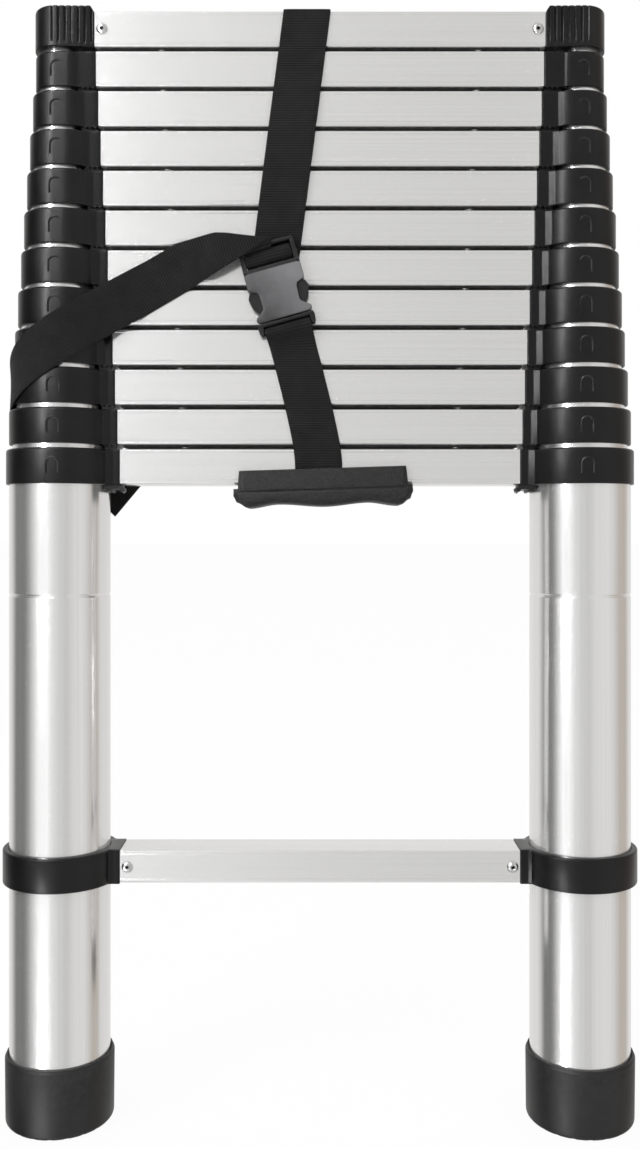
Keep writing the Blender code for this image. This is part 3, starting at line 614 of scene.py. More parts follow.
def makeKeyLamp():
    lamp = bpy.data.lights.new("keyLamp", "AREA")
    lamp.size = studioLook["keySize"]
    lamp.energy = studioLook["keyPower"]
    holder = bpy.data.objects.new("keyLamp", lamp)
    holder.location = studioLook["keyPlace"]
    aim = (cadLow + cadHigh) / 2 - Vector(studioLook["keyPlace"])
    holder.rotation_euler = aim.to_track_quat("-Z", "Y").to_euler()
    bpy.context.scene.collection.objects.link(holder)


makeCamera()
makeWorld()
makeFloor()
makeRoomTones()
makeLightPanels()
makeKeyLamp()
bpy.context.scene.view_settings.view_transform = "Standard"
print("camera and studio ready")


# Tubes

tubeLook = {"segments": 120, "rim": 0.4 * mm, "wall": 1.4 * mm, "grooveHeight": 0.397, "grooveWidth": 3.0 * mm,
            "grooveDepth": 0.7 * mm, "grooveSteps": 8}


def makeTube(name, side, radius, bottom, top, body, node, groove=None):
    inner, rim, steps = radius - tubeLook["wall"], tubeLook["rim"], tubeLook["grooveSteps"]
    profile = [(inner, bottom + rim), (inner + rim, bottom), (radius - rim, bottom), (radius, bottom + rim)]
    if groove is not None:
        for i in range(steps + 1):    # a rolled groove, round at its bottom
            share = i / steps - 0.5
            dip = tubeLook["grooveDepth"] * (0.5 + 0.5 * math.cos(2 * math.pi * share))
            profile.append((radius - dip, groove + share * tubeLook["grooveWidth"]))
    profile += [(radius, top - rim), (radius - rim, top), (inner + rim, top), (inner, top - rim)]
    bm = bmesh.new()
    loft(bm, [ringOf(r, z, tubeLook["segments"]) for r, z in profile], roundStack=True)
    onStile(bm, side)
    finishPiece(name, bm, [tubeMetal], body, "aluminium", node)


for side, word in sides:
    low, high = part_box(f"base_tube_{word}")
    makeTube(f"baseTube_{word}", side, tubeRadius(1), low.z, high.z, "base", f"base_tube_{word}",
             groove=tubeLook["grooveHeight"])
    for level in range(2, levels):
        low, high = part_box(f"section_{level:02d}_frame")
        makeTube(f"tube_{level:02d}_{word}", side, tubeRadius(level), low.z, high.z - tubeDrop, bodyOf(level),
                 f"section_{level:02d}_frame")
    low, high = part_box(f"top_tube_{word}")
    makeTube(f"topTube_{word}", side, tubeRadius(levels), low.z, high.z, bodyOf(levels), f"top_tube_{word}")
print("tubes ready")


# Rungs: hollow extrusions with a rounded lower edge, fine lines on the faces and a ribbed tread

rungLook = {"wall": 1.8 * mm, "lowerRound": 3.0 * mm, "upperRound": 1.1 * mm, "lineDepth": 0.25 * mm,
            "lineWidth": 0.6 * mm, "lineInset": 2.3 * mm, "treadRibs": 10, "treadDepth": 0.3 * mm}


def rungSection(halfDepth, halfHeight, ribbed):    # (y, z) points from under the front edge up and over
    low, up = rungLook["lowerRound"], rungLook["upperRound"]
    front = arc((low - halfDepth, low - halfHeight), low, 270, 180, 6)
    dent, wide = rungLook["lineDepth"], rungLook["lineWidth"] / 2
    for z in (low - halfHeight + wide * 2, halfHeight - rungLook["lineInset"]):
        front += [(-halfDepth, z - wide), (dent - halfDepth, z), (-halfDepth, z + wide)]
    front += arc((up - halfDepth, halfHeight - up), up, 180, 90, 4)
    start = up - halfDepth
    pitch = -2 * start / rungLook["treadRibs"]
    tread = []
    for i in range(rungLook["treadRibs"] if ribbed else 0):    # every other rib is sunk
        for share, drop in ((0.12, 0), (0.24, i % 2), (0.76, i % 2), (0.88, 0)):
            tread.append((start + (i + share) * pitch, halfHeight - drop * rungLook["treadDepth"]))
    return front + tread + [(-y, z) for y, z in reversed(front)]


def makeRung(name, level, halfLength, halfHeight, height, node, ribbed=True):
    outside = rungSection(rungHalfDepth, halfHeight, ribbed)
    y, z = rungHalfDepth - rungLook["wall"], halfHeight - rungLook["wall"]
    inside = [(max(-y, min(y, a)), max(-z, min(z, b))) for a, b in outside]
    rows = []
    for section, end in ((outside, -1), (outside, 1), (inside, 1), (inside, -1)):
        rows.append([Vector((end * halfLength, a, height + b)) for a, b in section])
    bm = bmesh.new()
    loft(bm, rows, roundStack=True)
    finishPiece(name, bm, [rungMetal], bodyOf(level), "aluminium", node, sharp=25)


bottomLow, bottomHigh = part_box("bottom_rung")
makeRung("bottomRung", 1, bottomHigh.x, (bottomHigh.z - bottomLow.z) / 2, middle("bottom_rung").z,
         "bottom_rung", ribbed=False)
for level in range(1, levels + 1):
    node = f"rung_{level:02d}" if level in (1, levels) else f"section_{level:02d}_frame"
    makeRung(f"rung_{level:02d}_shell", level, stileX - lugReach(level) - seatGap, rungHalfHeight,
             levelZ(level), node)
print("rungs ready")


# Rubber buffers under the sliding rungs, each held by two small rivets; their dark rubber stands in for the shade
# in the gaps between rungs

bufferLook = {"thickness": 1.7 * mm, "corner": 0.6 * mm, "gap": 0.05 * mm, "setback": 2.2 * mm,
              "endGap": 4.0 * mm, "rivetInset": 46.0 * mm, "rivetRadius": 3.2 * mm, "rivetHeight": 1.0 * mm}


def makeBuffer(level):
    underside = levelZ(level) - rungHalfHeight - bufferLook["gap"]
    half = stileX - lugReach(level) - bufferLook["endGap"]
    y, thick, corner = rungHalfDepth - bufferLook["setback"], bufferLook["thickness"], bufferLook["corner"]
    section = [(-y, 0), (y, 0)] + arc((y - corner, corner - thick), corner, 0, -90, 3)
    section += arc((corner - y, corner - thick), corner, -90, -180, 3)
    bm = bmesh.new()
    addSolid(bm, [[Vector((x, a, underside + b)) for a, b in section] for x in (-half, half)])
    finishPiece(f"buffer_{level:02d}", bm, [gapShadeRubber], bodyOf(level), "rubber")
    bm = bmesh.new()
    radius, tall = bufferLook["rivetRadius"], bufferLook["rivetHeight"]
    dome = [(0, 0)] + [(radius * math.cos(a), -tall * math.sin(a)) for a in (0, 0.5, 1.0, 1.3)] + [(0, -tall)]
    for side, _ in sides:
        centre = (side * (half - bufferLook["rivetInset"]), radius - y)
        loft(bm, [ringOf(r, underside - thick + z, 24, centre) for r, z in dome])
    finishPiece(f"bufferRivets_{level:02d}", bm, [rivetMetal], bodyOf(level), "steel")


for level in range(2, levels + 1):
    makeBuffer(level)
print("buffers ready")


# Collars, clamps and caps: a ring with a flat-fronted lug, joined by a ramp

# drawn: how far the half of the ring by the rungs is drawn out, and how much more at each next level
collarLook = {"drawn": 2.3 * mm, "drawnStep": 0.6 * mm, "ramp": 4.8 * mm, "rampSlope": 25.0, "rampShare": 0.55,
              "corner": 1.0 * mm, "topRound": 2.2 * mm, "bottomRound": 0.8 * mm, "lugSoft": 0.35,
              "endSoft": 0.2, "flange": 3.0 * mm, "flangeGap": 0.35 * mm, "bevel": 0.5 * mm}
clampLook = {"drawn": 1.1 * mm, "ramp": 2.5 * mm, "topRound": 1.6 * mm, "bottomRound": 1.2 * mm}
archLook = {"halfWidth": 4.4 * mm, "foot": -5.6 * mm, "spring": 1.4 * mm, "lineWidth": 2.0 * mm,
            "rise": 0.7 * mm, "turn": 4.0, "pip": 6.6 * mm, "pipRise": 4.4 * mm,
            "pipDome": ((0.9 * mm, -0.3 * mm), (0.8 * mm, 0.25 * mm), (0.45 * mm, 0.5 * mm), (0, 0.55 * mm))}
padLook = {"ribs": 3, "pitch": 3.6 * mm, "radius": 1.15 * mm, "start": 2.4 * mm, "setback": 0.6 * mm,
           "depth": 9.0 * mm, "sunk": 0.2 * mm, "stripGap": 0.6 * mm, "stripInset": 4.0 * mm}


def lugEnd(reach):    # plan points of the lug's end: x, y, normal, share of the rounding, polish
    half, corner, soft = rungHalfDepth, collarLook["corner"], collarLook["endSoft"]
    points = [(reach, (half - corner) * i / 4, 1, 0, soft, 1) for i in range(5)]
    for i in range(1, 6):
        across, out = math.cos(math.pi / 10 * i), math.sin(math.pi / 10 * i)
        points.append((reach - corner + corner * across, half - corner + corner * out, across, out, soft, 1))
    return points


def bothHalves(points):
    back = [(x, -y, nx, -ny, soft, polish) for x, y, nx, ny, soft, polish in reversed(points[1:-1])]
    return points + back


def ringPoints(radius, spans):    # (start, end, shift towards the rungs, steps) of each stretch of the ring
    points = []
    for start, end, shift, steps in spans:
        for i in range(steps + 1):
            a = start + (end - start) * i / steps
            points.append((shift + radius * math.cos(a), radius * math.sin(a), math.cos(a), math.sin(a), 1, 0))
    return points


def lugPlan(radius, reach, drawn, ramp):    # the lug's end and flat side, a ramp to the ring, round the ring
    half, soft, slope = rungHalfDepth, collarLook["lugSoft"], math.radians(collarLook["rampSlope"])
    rise = min(ramp * math.tan(slope), (radius - half) * collarLook["rampShare"])
    first = math.asin((half + rise) / radius)
    top = drawn + radius * math.cos(first)
    foot, side = top + rise / math.tan(slope), reach - collarLook["corner"]
    points = lugEnd(reach)
    points += [(side + (foot - side) * i / 4, half, 0, 1, soft, 1) for i in range(1, 5)]
    for share in (0.12, 0.5, 0.88):
        points.append((foot + (top - foot) * share, half + rise * share, math.sin(slope), math.cos(slope),
                       soft + (1 - soft) * share, 1))
    spans = ((first, math.pi / 2, drawn, 22), (math.pi / 2, math.pi, 0, 36))
    return bothHalves(points + ringPoints(radius, spans))


def edgeRows(low, high, look):    # (inset, height) up the outside: four of the lower edge, then the upper one
    under, over = look["bottomRound"], look["topRound"]
    rows = [(under * (1 - math.sin(a)), low + under * (1 - math.cos(a))) for a in (0, 0.55, 1.05, 1.57)]
    turns = [math.pi / 2 * i / 6 for i in range(7)]
    return rows + [(over * (1 - math.cos(a)), high - over + over * math.sin(a)) for a in turns]


def boreRow(plan, radius, height):
    turns = [math.atan2(y, x) for x, y, *_ in plan]
    return [Vector((radius * math.cos(a), radius * math.sin(a), height)) for a in turns]


def newPlastic():
    bm = bmesh.new()
    bm.verts.layers.float.new("polish")
    return bm


def polishRows(bm, made, plan):
    layer = bm.verts.layers.float["polish"]
    for row in made:
        for corner, point in zip(row, plan):
            corner[layer] = point[5]


def addLugRing(bm, plan, low, high, look, bores):    # bores are (radius, height) down the inside
    rows = []
    for inset, z in edgeRows(low, high, look):
        rows.append([Vector((x - nx * inset * soft, y - ny * inset * soft, z))
                     for x, y, nx, ny, soft, _ in plan])
    rows += [boreRow(plan, r, z) for r, z in bores]
    polishRows(bm, loft(bm, rows, roundStack=True), plan)


def addRidge(bm, path, width, rise):    # a half-round line along (point, outward) places
    section = ((-0.5, -0.4), (-0.36, 0.5), (0, 1), (0.36, 0.5), (0.5, -0.4))
    rows = []
    for i, (point, out) in enumerate(path):
        along = path[min(i + 1, len(path) - 1)][0] - path[max(i - 1, 0)][0]
        across = along.normalized().cross(out)
        rows.append([point + across * a * width + out * b * rise for a, b in section])
    addSolid(bm, rows)


def onRing(radius, across, up):    # a place on a ring's front, and the way out of it
    a = math.radians(archLook["turn"]) + across / radius - math.pi / 2
    out = Vector((math.cos(a), math.sin(a), 0))
    return out * radius + Vector((0, 0, up)), out


def addArch(bm, radius):    # the low moulded arch on the front of each ring, and a pip beside it
    half, foot = archLook["halfWidth"], archLook["foot"]
    line = [(-half, foot)] + arc((0, archLook["spring"]), half, 180, 0, 12) + [(half, foot)]
    addRidge(bm, [onRing(radius, across, up) for across, up in line], archLook["lineWidth"], archLook["rise"])
    centre, out = onRing(radius, archLook["pip"], archLook["pipRise"])
    aside = Vector((-out.y, out.x, 0))
    rows = []
    for r, rise in archLook["pipDome"]:
        rows.append([centre + aside * p.x + Vector((0, 0, p.y)) + out * rise for p in ringOf(r, 0, 12)])
    bm.faces.new(loft(bm, rows)[0])


def addPads(bm, tube, reach, underside):    # small ribs that keep one lug off the next, and a strip behind them
    for i in range(padLook["ribs"]):
        centre = (reach - padLook["start"] - i * padLook["pitch"], underside + padLook["sunk"])
        section = arc(centre, padLook["radius"], 0, -180, 8)
        ends = (padLook["setback"] - rungHalfDepth, padLook["depth"] - rungHalfDepth)
        addSolid(bm, [[Vector((a, y, b)) for a, b in section] for y in ends])
    # painted shade: the strip closes the gap between the lugs with dark plastic where there is only shade
    near, far = tube + padLook["stripGap"], reach - padLook["stripGap"]
    deep = rungHalfDepth - padLook["stripInset"]
    corners = ((near, -deep), (far, -deep), (far, deep), (near, deep))
    addSolid(bm, stacked(corners, (underside + padLook["stripGap"], underside - closedGap + seatGap)))


def makeCollar(level, side, word):
    half, radius, reach = rungHalfHeight, ringRadius(level), lugReach(level)
    drawn = collarLook["drawn"] + collarLook["drawnStep"] * (level - 1)
    plan = lugPlan(radius, reach, drawn, collarLook["ramp"])
    bore, throat = tubeRadius(level) + seatGap, tubeRadius(level + 1) + collarLook["flangeGap"]
    shelf, bevel = half - collarLook["flange"], collarLook["bevel"]
    bores = ((throat + bevel, half), (throat, half - bevel), (throat, shelf), (bore, shelf), (bore, -half))
    bm = newPlastic()
    addLugRing(bm, plan, -half, half, collarLook, bores)
    addArch(bm, radius)
    if level > 1:
        addPads(bm, tubeRadius(level), reach, -half)
    onStile(bm, side, levelZ(level))
    node = ringNode(level, word)
    finishPiece(node + "_moulding", bm, [collarPlastic], bodyOf(level), "collar_plastic", node)


def makeClamp(side, word):
    low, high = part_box(f"clamp_{word}")
    plan = lugPlan((high.y - low.y) / 2, stileX - bottomHigh.x - seatGap, clampLook["drawn"], clampLook["ramp"])
    bore, bevel = tubeRadius(1) + seatGap, collarLook["bevel"]
    bm = newPlastic()
    bores = ((bore + bevel, high.z), (bore, high.z - bevel), (bore, low.z))
    addLugRing(bm, plan, low.z, high.z, clampLook, bores)
    onStile(bm, side)
    finishPiece(f"clamp_{word}_moulding", bm, [collarPlastic], "base", "collar_plastic", f"clamp_{word}")


capLook = {"bottomRound": 0.8 * mm, "topRound": 2.2 * mm, "band": 3.4 * mm, "bandStep": 0.7 * mm,
           "ribPitch": 4.85 * mm, "ribDepth": 1.0 * mm, "ribStart": -2.4 * mm, "ribEnd": 1.0 * mm,
           "ribReach": 3.0 * mm, "grooveFloor": 0.1 * mm, "grooveHalf": 1.1 * mm, "chamferRun": 3.0 * mm,
           "chamferDrop": 5.0 * mm, "planGap": 0.32 * mm}


def capPlan(radius, reach):    # the lug's end, a straight side that meets the ring smoothly, round the ring
    corner = Vector((reach - collarLook["corner"], rungHalfDepth))
    first = math.atan2(corner.y, corner.x) + math.acos(radius / corner.length)
    coarse = bothHalves(lugEnd(reach) + ringPoints(radius, ((first, math.pi, 0, 40),)))
    plan = []
    for here, there in zip(coarse, coarse[1:] + coarse[:1]):    # extra points so that the ribs come out round
        count = max(1, round(math.hypot(there[0] - here[0], there[1] - here[1]) / capLook["planGap"]))
        plan += [tuple(a + (b - a) * i / count for a, b in zip(here, there)) for i in range(count)]
    return plan


def fluteDepth(x, y, reach):    # half-round flutes on the front and back, plain on the outer third
    start, pitch, half = capLook["ribStart"], capLook["ribPitch"], capLook["grooveHalf"]
    if x < start - half or x > reach - capLook["ribEnd"] or abs(y) < rungHalfDepth - capLook["ribReach"]:
        return 0.0
    share = (x - start) / pitch
    off = abs(share - round(share)) * pitch
    return capLook["ribDepth"] * (1 - smooth(capLook["grooveFloor"], half, off))


def makeCap(side, word):
    low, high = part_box(f"cap_{word}")
    reach = lugReach(levels)
    plan = capPlan((high.y - low.y) / 2, reach)
    bore, tubeTop = tubeRadius(levels) + seatGap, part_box(f"top_tube_{word}")[1].z + seatGap
    rows = [boreRow(plan, bore, tubeTop), boreRow(plan, bore, low.z)]
    band, edges = low.z + capLook["band"], edgeRows(low.z, high.z, capLook)
    for inset, z in edges[:4] + [(0, band), (0, band + capLook["bandStep"])] + edges[4:]:
        row = []
        for x, y, nx, ny, soft, _ in plan:
            sunk = inset * soft + (fluteDepth(x, y, reach) if z > band else 0)
            point = Vector((x - nx * sunk, y - ny * sunk, z))
            past = point.x - reach + capLook["chamferRun"]
            if past > 0:
                point.z = min(z, high.z - past * capLook["chamferDrop"] / capLook["chamferRun"])
            row.append(point)
        rows.append(row)
    bm = newPlastic()
    polishRows(bm, addSolid(bm, rows)[2:], plan)
    onStile(bm, side)
    finishPiece(f"cap_{word}_moulding", bm, [collarPlastic], bodyOf(levels), "collar_plastic", f"cap_{word}")


for side, word in sides:
    makeClamp(side, word)
    makeCap(side, word)
    for level in range(1, levels):
        makeCollar(level, side, word)
print("collars, clamps and caps ready")


# Rubber feet with a bevelled rim, two round grooves and blocks in the sole

# bevel: in from the side and down from the top
footLook = {"segments": 180, "edge": 3.4 * mm, "taper": 0.4 * mm, "sole": 8.0 * mm, "treadDepth": 1.7 * mm,
            "grooves": ((11.0 * mm, 14.5 * mm), (21.0 * mm, 24.5 * mm)), "grooveWall": 0.5 * mm,
            "blocksFrom": 25.5 * mm, "blocks": 20, "gapShare": 0.2,
            "bevel": ((0, 2.6 * mm), (0.35 * mm, 1.9 * mm), (0.9 * mm, 0.9 * mm)), "lip": 1.6 * mm,
            "lipRound": 1.2 * mm}


def footProfile(outer, seat, top):    # radius, height and how far the gaps between blocks cut in there
    edge, deep, wall = footLook["edge"], footLook["treadDepth"], footLook["grooveWall"]
    profile = [(0, 0, 0)]
    for start, end in footLook["grooves"]:
        profile += [(start, 0, 0), (start + wall, deep, 0), (end - wall, deep, 0), (end, 0, 0)]
    profile.append((footLook["blocksFrom"], 0, 1))
    for r, z in arc((outer - footLook["taper"] - edge, edge), edge, -90, 0, 10):
        profile.append((r, z, 1 - smooth(0.1, 0.35, z / edge)))
    profile += [(outer - inset, top - drop, 0) for inset, drop in footLook["bevel"]]
    profile.append((seat + footLook["lip"], top, 0))
    turn = footLook["lipRound"]
    profile += [(r, z, 0) for r, z in arc((seat + turn, top - turn), turn, 90, 180, 4)]
    return profile + [(seat, footLook["sole"], 0), (0, footLook["sole"], 0)]


def makeFoot(side, word):
    low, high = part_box(f"foot_{word}")
    rows = []
    for r, z, notch in footProfile((high.x - low.x) / 2, tubeRadius(1) + seatGap, high.z):
        row = ringOf(r, z, footLook["segments"])
        for i, point in enumerate(row):
            if (i * footLook["blocks"] / footLook["segments"]) % 1 < footLook["gapShare"]:
                point.z += notch * max(0, footLook["treadDepth"] - z)
        rows.append(row)
    bm = bmesh.new()
    loft(bm, rows)
    onStile(bm, side)
    finishPiece(f"foot_{word}_boot", bm, [footRubber], "base", "rubber", f"foot_{word}", sharp=40)


for side, word in sides:
    makeFoot(side, word)
print("feet ready")


# Pop rivets: a domed head with its hollow centre, which is painted near black as shade

# dome: shares of the head's radius and of its height
rivetLook = {"segments": 40, "hole": 1.2 * mm, "holeFloor": 0.1 * mm,
             "dome": ((0.55, 0.97), (0.75, 0.76), (0.9, 0.45), (1.0, 0.12), (1.0, -0.15), (0, -0.15))}


def makePopRivet(node, body):
    low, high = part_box(node)
    centre, face = (low + high) / 2, -rungHalfDepth
    radius, tall, hole = (high.x - low.x) / 2, -low.y + face, rivetLook["hole"]
    floor = rivetLook["holeFloor"]
    profile = [(0, floor), (hole, floor), (hole, tall * 0.82), (hole * 1.3, tall)]
    profile += [(radius * s, tall * h) for s, h in rivetLook["dome"]]
    rows = []
    for r, out in profile:
        ring = ringOf(r, 0, rivetLook["segments"])
        rows.append([Vector((centre.x + p.x, face - out, centre.z + p.y)) for p in ring])
    bm = bmesh.new()
    loft(bm, rows)
    # painted shade: faces inside the hollow take the near-black finish
    for part in bm.faces:
        spot = part.calc_center_median()
        if math.hypot(spot.x - centre.x, spot.z - centre.z) < hole * 1.01:
            part.material_index = 1
    finishPiece(node + "_head", bm, [rivetMetal, rivetHoleShade], body, "steel", node)


for side, word in sides:
    makePopRivet(f"top_rivet_{word}", bodyOf(levels))
    makePopRivet(f"bottom_rivet_{word}", "base")
print("rivets ready")


# Release latches: a thumb tab under the lug and a sprung lock pin

latchLook = {"rows": 16, "hollowGap": 1.0 * mm, "rearCut": 4.5 * mm, "cornerCut": 1.2 * mm, "sideThin": 0.12,
             "stem": 2.2 * mm, "stemFoot": 1.5 * mm, "pinRadius": 3.0 * mm, "pinEnd": 50.0 * mm,
             "pinBevel": 0.8 * mm}
springLook = {"wire": 0.45 * mm, "turns": 5, "steps": 24, "travel": 6.0 * mm}
# the tab's side view, from the tube outwards: share of its length, share of its height below the top
tabSection = ((0, 0.05), (0.02, 0), (0.86, 0), (0.90, 0.30), (1, 0.55), (0.97, 0.85), (0.85, 1), (0.78, 0.92),
              (0.74, 0.62), (0.34, 0.62), (0.30, 0.95), (0.14, 0.95), (0.10, 0.62), (0, 0.62))


def makeLatch(side, word):
    low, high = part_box(f"latch_{word}")
    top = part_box("collar_01_right")[0].z - seatGap
    hollow = tubeRadius(1) + latchLook["hollowGap"]
    tip = stileX - (-high.x if side < 0 else low.x)
    rows = []
    for i in range(latchLook["rows"] + 1):
        share = 2 * i / latchLook["rows"] - 1
        y = share * high.y
        start = math.sqrt(hollow ** 2 - y ** 2)
        end = tip - latchLook["rearCut"] * smooth(-1.0, 1.0, share)
        end -= latchLook["cornerCut"] * smooth(0.8, 1.0, abs(share))
        deep = (top - low.z) * (1 - latchLook["sideThin"] * smooth(0.86, 1.0, abs(share)))
        rows.append([Vector((start + (end - start) * a, y, top - deep * b)) for a, b in tabSection])
    bm = newPlastic()
    addSolid(bm, rows)
    near, far, wide = hollow + seatGap, hollow + latchLook["stem"], latchLook["pinRadius"] - seatGap
    stem = ((near, -wide), (far, -wide), (far, wide), (near, wide))
    addSolid(bm, stacked(stem, (top - latchLook["stemFoot"], levelZ(1))))
    onStile(bm, side)
    finishPiece(f"latch_{word}_tab", bm, [collarPlastic], f"latch_{word}_slide", "collar_plastic",
                f"latch_{word}")


def makeLockPin(side, word):
    pin, bevel, end = latchLook["pinRadius"], latchLook["pinBevel"], latchLook["pinEnd"]
    nose = tubeRadius(2) + seatGap
    rows = []
    for x, r in ((nose, 0), (nose, pin - bevel), (nose + bevel, pin), (end, pin), (end, 0)):
        rows.append([Vector((x, p.x, levelZ(1) + p.y)) for p in ringOf(r, 0, 24)])
    bm = bmesh.new()
    loft(bm, rows)
    onStile(bm, side)
    finishPiece(f"lockPin_{word}", bm, [springSteel], f"latch_{word}_slide", "steel", f"latch_{word}")


def makeSpring(word):    # the coil behind the pin
    node = f"latch_spring_{word}"
    low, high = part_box(node)
    wire, count = springLook["wire"], springLook["turns"] * springLook["steps"]
    radius, span = (high.y - low.y) / 2 - wire, high.x - low.x - 2 * wire
    rows = []
    for i in range(count + 1):
        a = 2 * math.pi * i / springLook["steps"]
        out = Vector((0, math.cos(a), math.sin(a)))
        centre = Vector((low.x + wire + span * i / count, 0, middle(node).z)) + out * radius
        rows.append([centre + out * p.x + Vector((p.y, 0, 0)) for p in ringOf(wire, 0, 8)])
    bm = bmesh.new()
    addSolid(bm, rows)
    spring = finishPiece(f"latchSpring_{word}", bm, [springSteel], "base", "steel", node)
    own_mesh(spring)


for side, word in sides:
    makeLatch(side, word)
    makeLockPin(side, word)
    makeSpring(word)
print("latches ready")


# Webbing: bands with soft selvedges; each keeps its own length and width for the weave

strapLook = {"width": 35.0 * mm, "thickness": 1.4 * mm, "bend": 1.7 * mm, "step": 4.0 * mm, "upperX": -9.7 * mm,
             "upperLean": 0.136, "upperBow": 2.6 * mm, "lowerX": -1.0 * mm, "lowerLean": -0.283,
             "lowerEase": 30.0 * mm, "backRise": 10.0 * mm, "behindBuckle": 15.0 * mm,
             "belowBuckle": -49.0 * mm}
acrossPlaces = (0, 0.015, 0.05, 0.15, 0.3, 0.5, 0.7, 0.85, 0.95, 0.985, 1)
edgeFullness = (0.35, 0.75, 0.95, 1, 1, 1, 1, 1, 0.95, 0.75, 0.35)
strapHalf = strapLook["thickness"] / 2
strapPlane = rungHalfDepth + seatGap + strapHalf
buckleLow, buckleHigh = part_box("buckle_female")
bucklePlace = {"x": -32.2 * mm, "drop": 194.0 * mm, "tilt": -15.5}
buckleCentre = Vector((bucklePlace["x"], buckleHigh.y, levelZ(levels) - bucklePlace["drop"]))
buckleTurn = Matrix.Rotation(math.radians(bucklePlace["tilt"]), 3, "Y")


def onBuckle(u, w, out):    # a place on the buckle: to its right, up it, and out from its back
    return buckleCentre + buckleTurn @ Vector((u, -out, w))


def newBand():
    bm = bmesh.new()
    bm.verts.layers.float.new("along")
    bm.verts.layers.float.new("across")
    return bm


def addBand(bm, rows, outward):    # rows of (one edge, other edge) down the band's middle; outward is +1 or -1
    along, across = bm.verts.layers.float["along"], bm.verts.layers.float["across"]
    distance, loops, marks = 0.0, [], []
    for i, (first, second) in enumerate(rows):
        before, after = rows[max(i - 1, 0)], rows[min(i + 1, len(rows) - 1)]
        run = (after[0] + after[1] - before[0] - before[1]).normalized()
        normal = run.cross((second - first).normalized()).normalized() * outward * strapHalf
        if i:
            distance += ((first + second) / 2 - (rows[i - 1][0] + rows[i - 1][1]) / 2).length
        front = [first.lerp(second, t) + normal * f for t, f in zip(acrossPlaces, edgeFullness)]
        rear = [first.lerp(second, t) - normal * f for t, f in zip(acrossPlaces, edgeFullness)]
        loops.append(front + rear[::-1])
        marks.append((distance, [t * (second - first).length for t in acrossPlaces + acrossPlaces[::-1]]))
    made = loft(bm, loops)
    for row, (reached, places) in zip(made, marks):
        for corner, aside in zip(row, places):
            corner[along] = reached
            corner[across] = aside
    count = len(acrossPlaces)
    for row in (made[0], made[-1]):
        for i in range(count - 1):
            bm.faces.new((row[i], row[i + 1], row[2 * count - 2 - i], row[2 * count - 1 - i]))
    return distance


def turned(points, radius, steps=5):    # a path with its corners turned on a radius
    points = [Vector(point) for point in points]
    path = [points[0]]
    for before, corner, after in zip(points, points[1:], points[2:]):
        back, ahead = (before - corner).normalized(), (after - corner).normalized()
        half = back.angle(ahead) / 2
        centre = corner + (back + ahead).normalized() * radius / math.sin(half)
        start, end = corner + back * radius / math.tan(half), corner + ahead * radius / math.tan(half)
        for i in range(steps + 1):
            path.append(centre + (start - centre).lerp(end - centre, i / steps).normalized() * radius)
    return path + [points[-1]]


def leaning(path, centreAt, halfWidth):    # rows of a band whose (y, z) path leans sideways with height
    rows = []
    for y, z in path:
        rows.append(tuple(Vector((centreAt(z) + aside, y, z)) for aside in (-halfWidth, halfWidth)))
    return rows


def threaded(stations, halfWidth):    # rows through the buckle: (up, out, share turned to the buckle's tilt)
    level = Vector((1, 0, 0))
    rows = []
    for w, out, share in stations:
        aside = (buckleTurn @ level).lerp(level, 1 - share).normalized() * halfWidth
        centre = onBuckle(0, w * mm, out * mm)
        rows.append((centre - aside, centre + aside))
    return rows


def densified(rows, gap):    # extra rows on long runs; a row is a tuple of points
    result = [rows[0]]
    for before, after in zip(rows, rows[1:]):
        count = max(1, round((after[0] - before[0]).length / gap))
        for i in range(1, count + 1):
            result.append(tuple(a.lerp(b, i / count) for a, b in zip(before, after)))
    return result


# up from the lower slot, over the middle bar and into the upper slot: up and out in mm, tilt share
barWrap = ((17.6, 1.4, 1), (18.2, 3.4, 1), (19.0, 5.2, 1), (20.4, 6.5, 1), (22.2, 6.9, 1), (24.4, 6.9, 1),
           (26.0, 6.5, 1), (27.4, 5.2, 1), (28.4, 3.2, 1), (28.9, 1.2, 1))
# up through the slot of the lower half and down over its bar
lowerThread = ((-26.5, -0.7, 1), (-27.6, 0.4, 1), (-28.4, 3.0, 1), (-29.4, 5.6, 1), (-31.0, 6.9, 1),
               (-33.4, 6.9, 0.9), (-35.6, 5.6, 0.75), (-38.0, 3.0, 0.6), (-41.0, 0.7, 0.45),
               (-45.0, -0.3, 0.25))


def makeUpperStrap():
    top, lean = levelZ(levels), strapLook["upperLean"]
    clear = rungHalfHeight + seatGap + strapHalf
    low, high = top - clear, top + clear
    start = onBuckle(0, strapLook["behindBuckle"], 0).z
    path = turned([(-strapPlane, start), (-strapPlane, high), (strapPlane, high), (strapPlane, low),
                   (2 * strapHalf - strapPlane, low)], strapLook["bend"])
    half = strapLook["width"] / 2 / math.cos(math.atan(lean))
    rows = leaning(path, lambda z: strapLook["upperX"] + lean * min(z - top, 0), half)
    rows = densified(rows, strapLook["step"])
    for left, right in rows:    # the front run stands a little off the rungs
        if left.y < 0 and left.z < low:
            bow = strapLook["upperBow"] * math.sin(math.pi * (low - left.z) / (low - start))
            left.y -= bow
            right.y -= bow
    bm = newBand()
    length = addBand(bm, rows, 1)
    strap = finishPiece("strapUpper", bm, [strapWebbing], bodyOf(levels), "webbing", "strap_upper")


def lowerCentre(z):    # upright at the handle, leaning more towards the buckle
    up = max(z - levelZ(1), 0)
    return strapLook["lowerX"] + strapLook["lowerLean"] * up * up / (up + strapLook["lowerEase"])


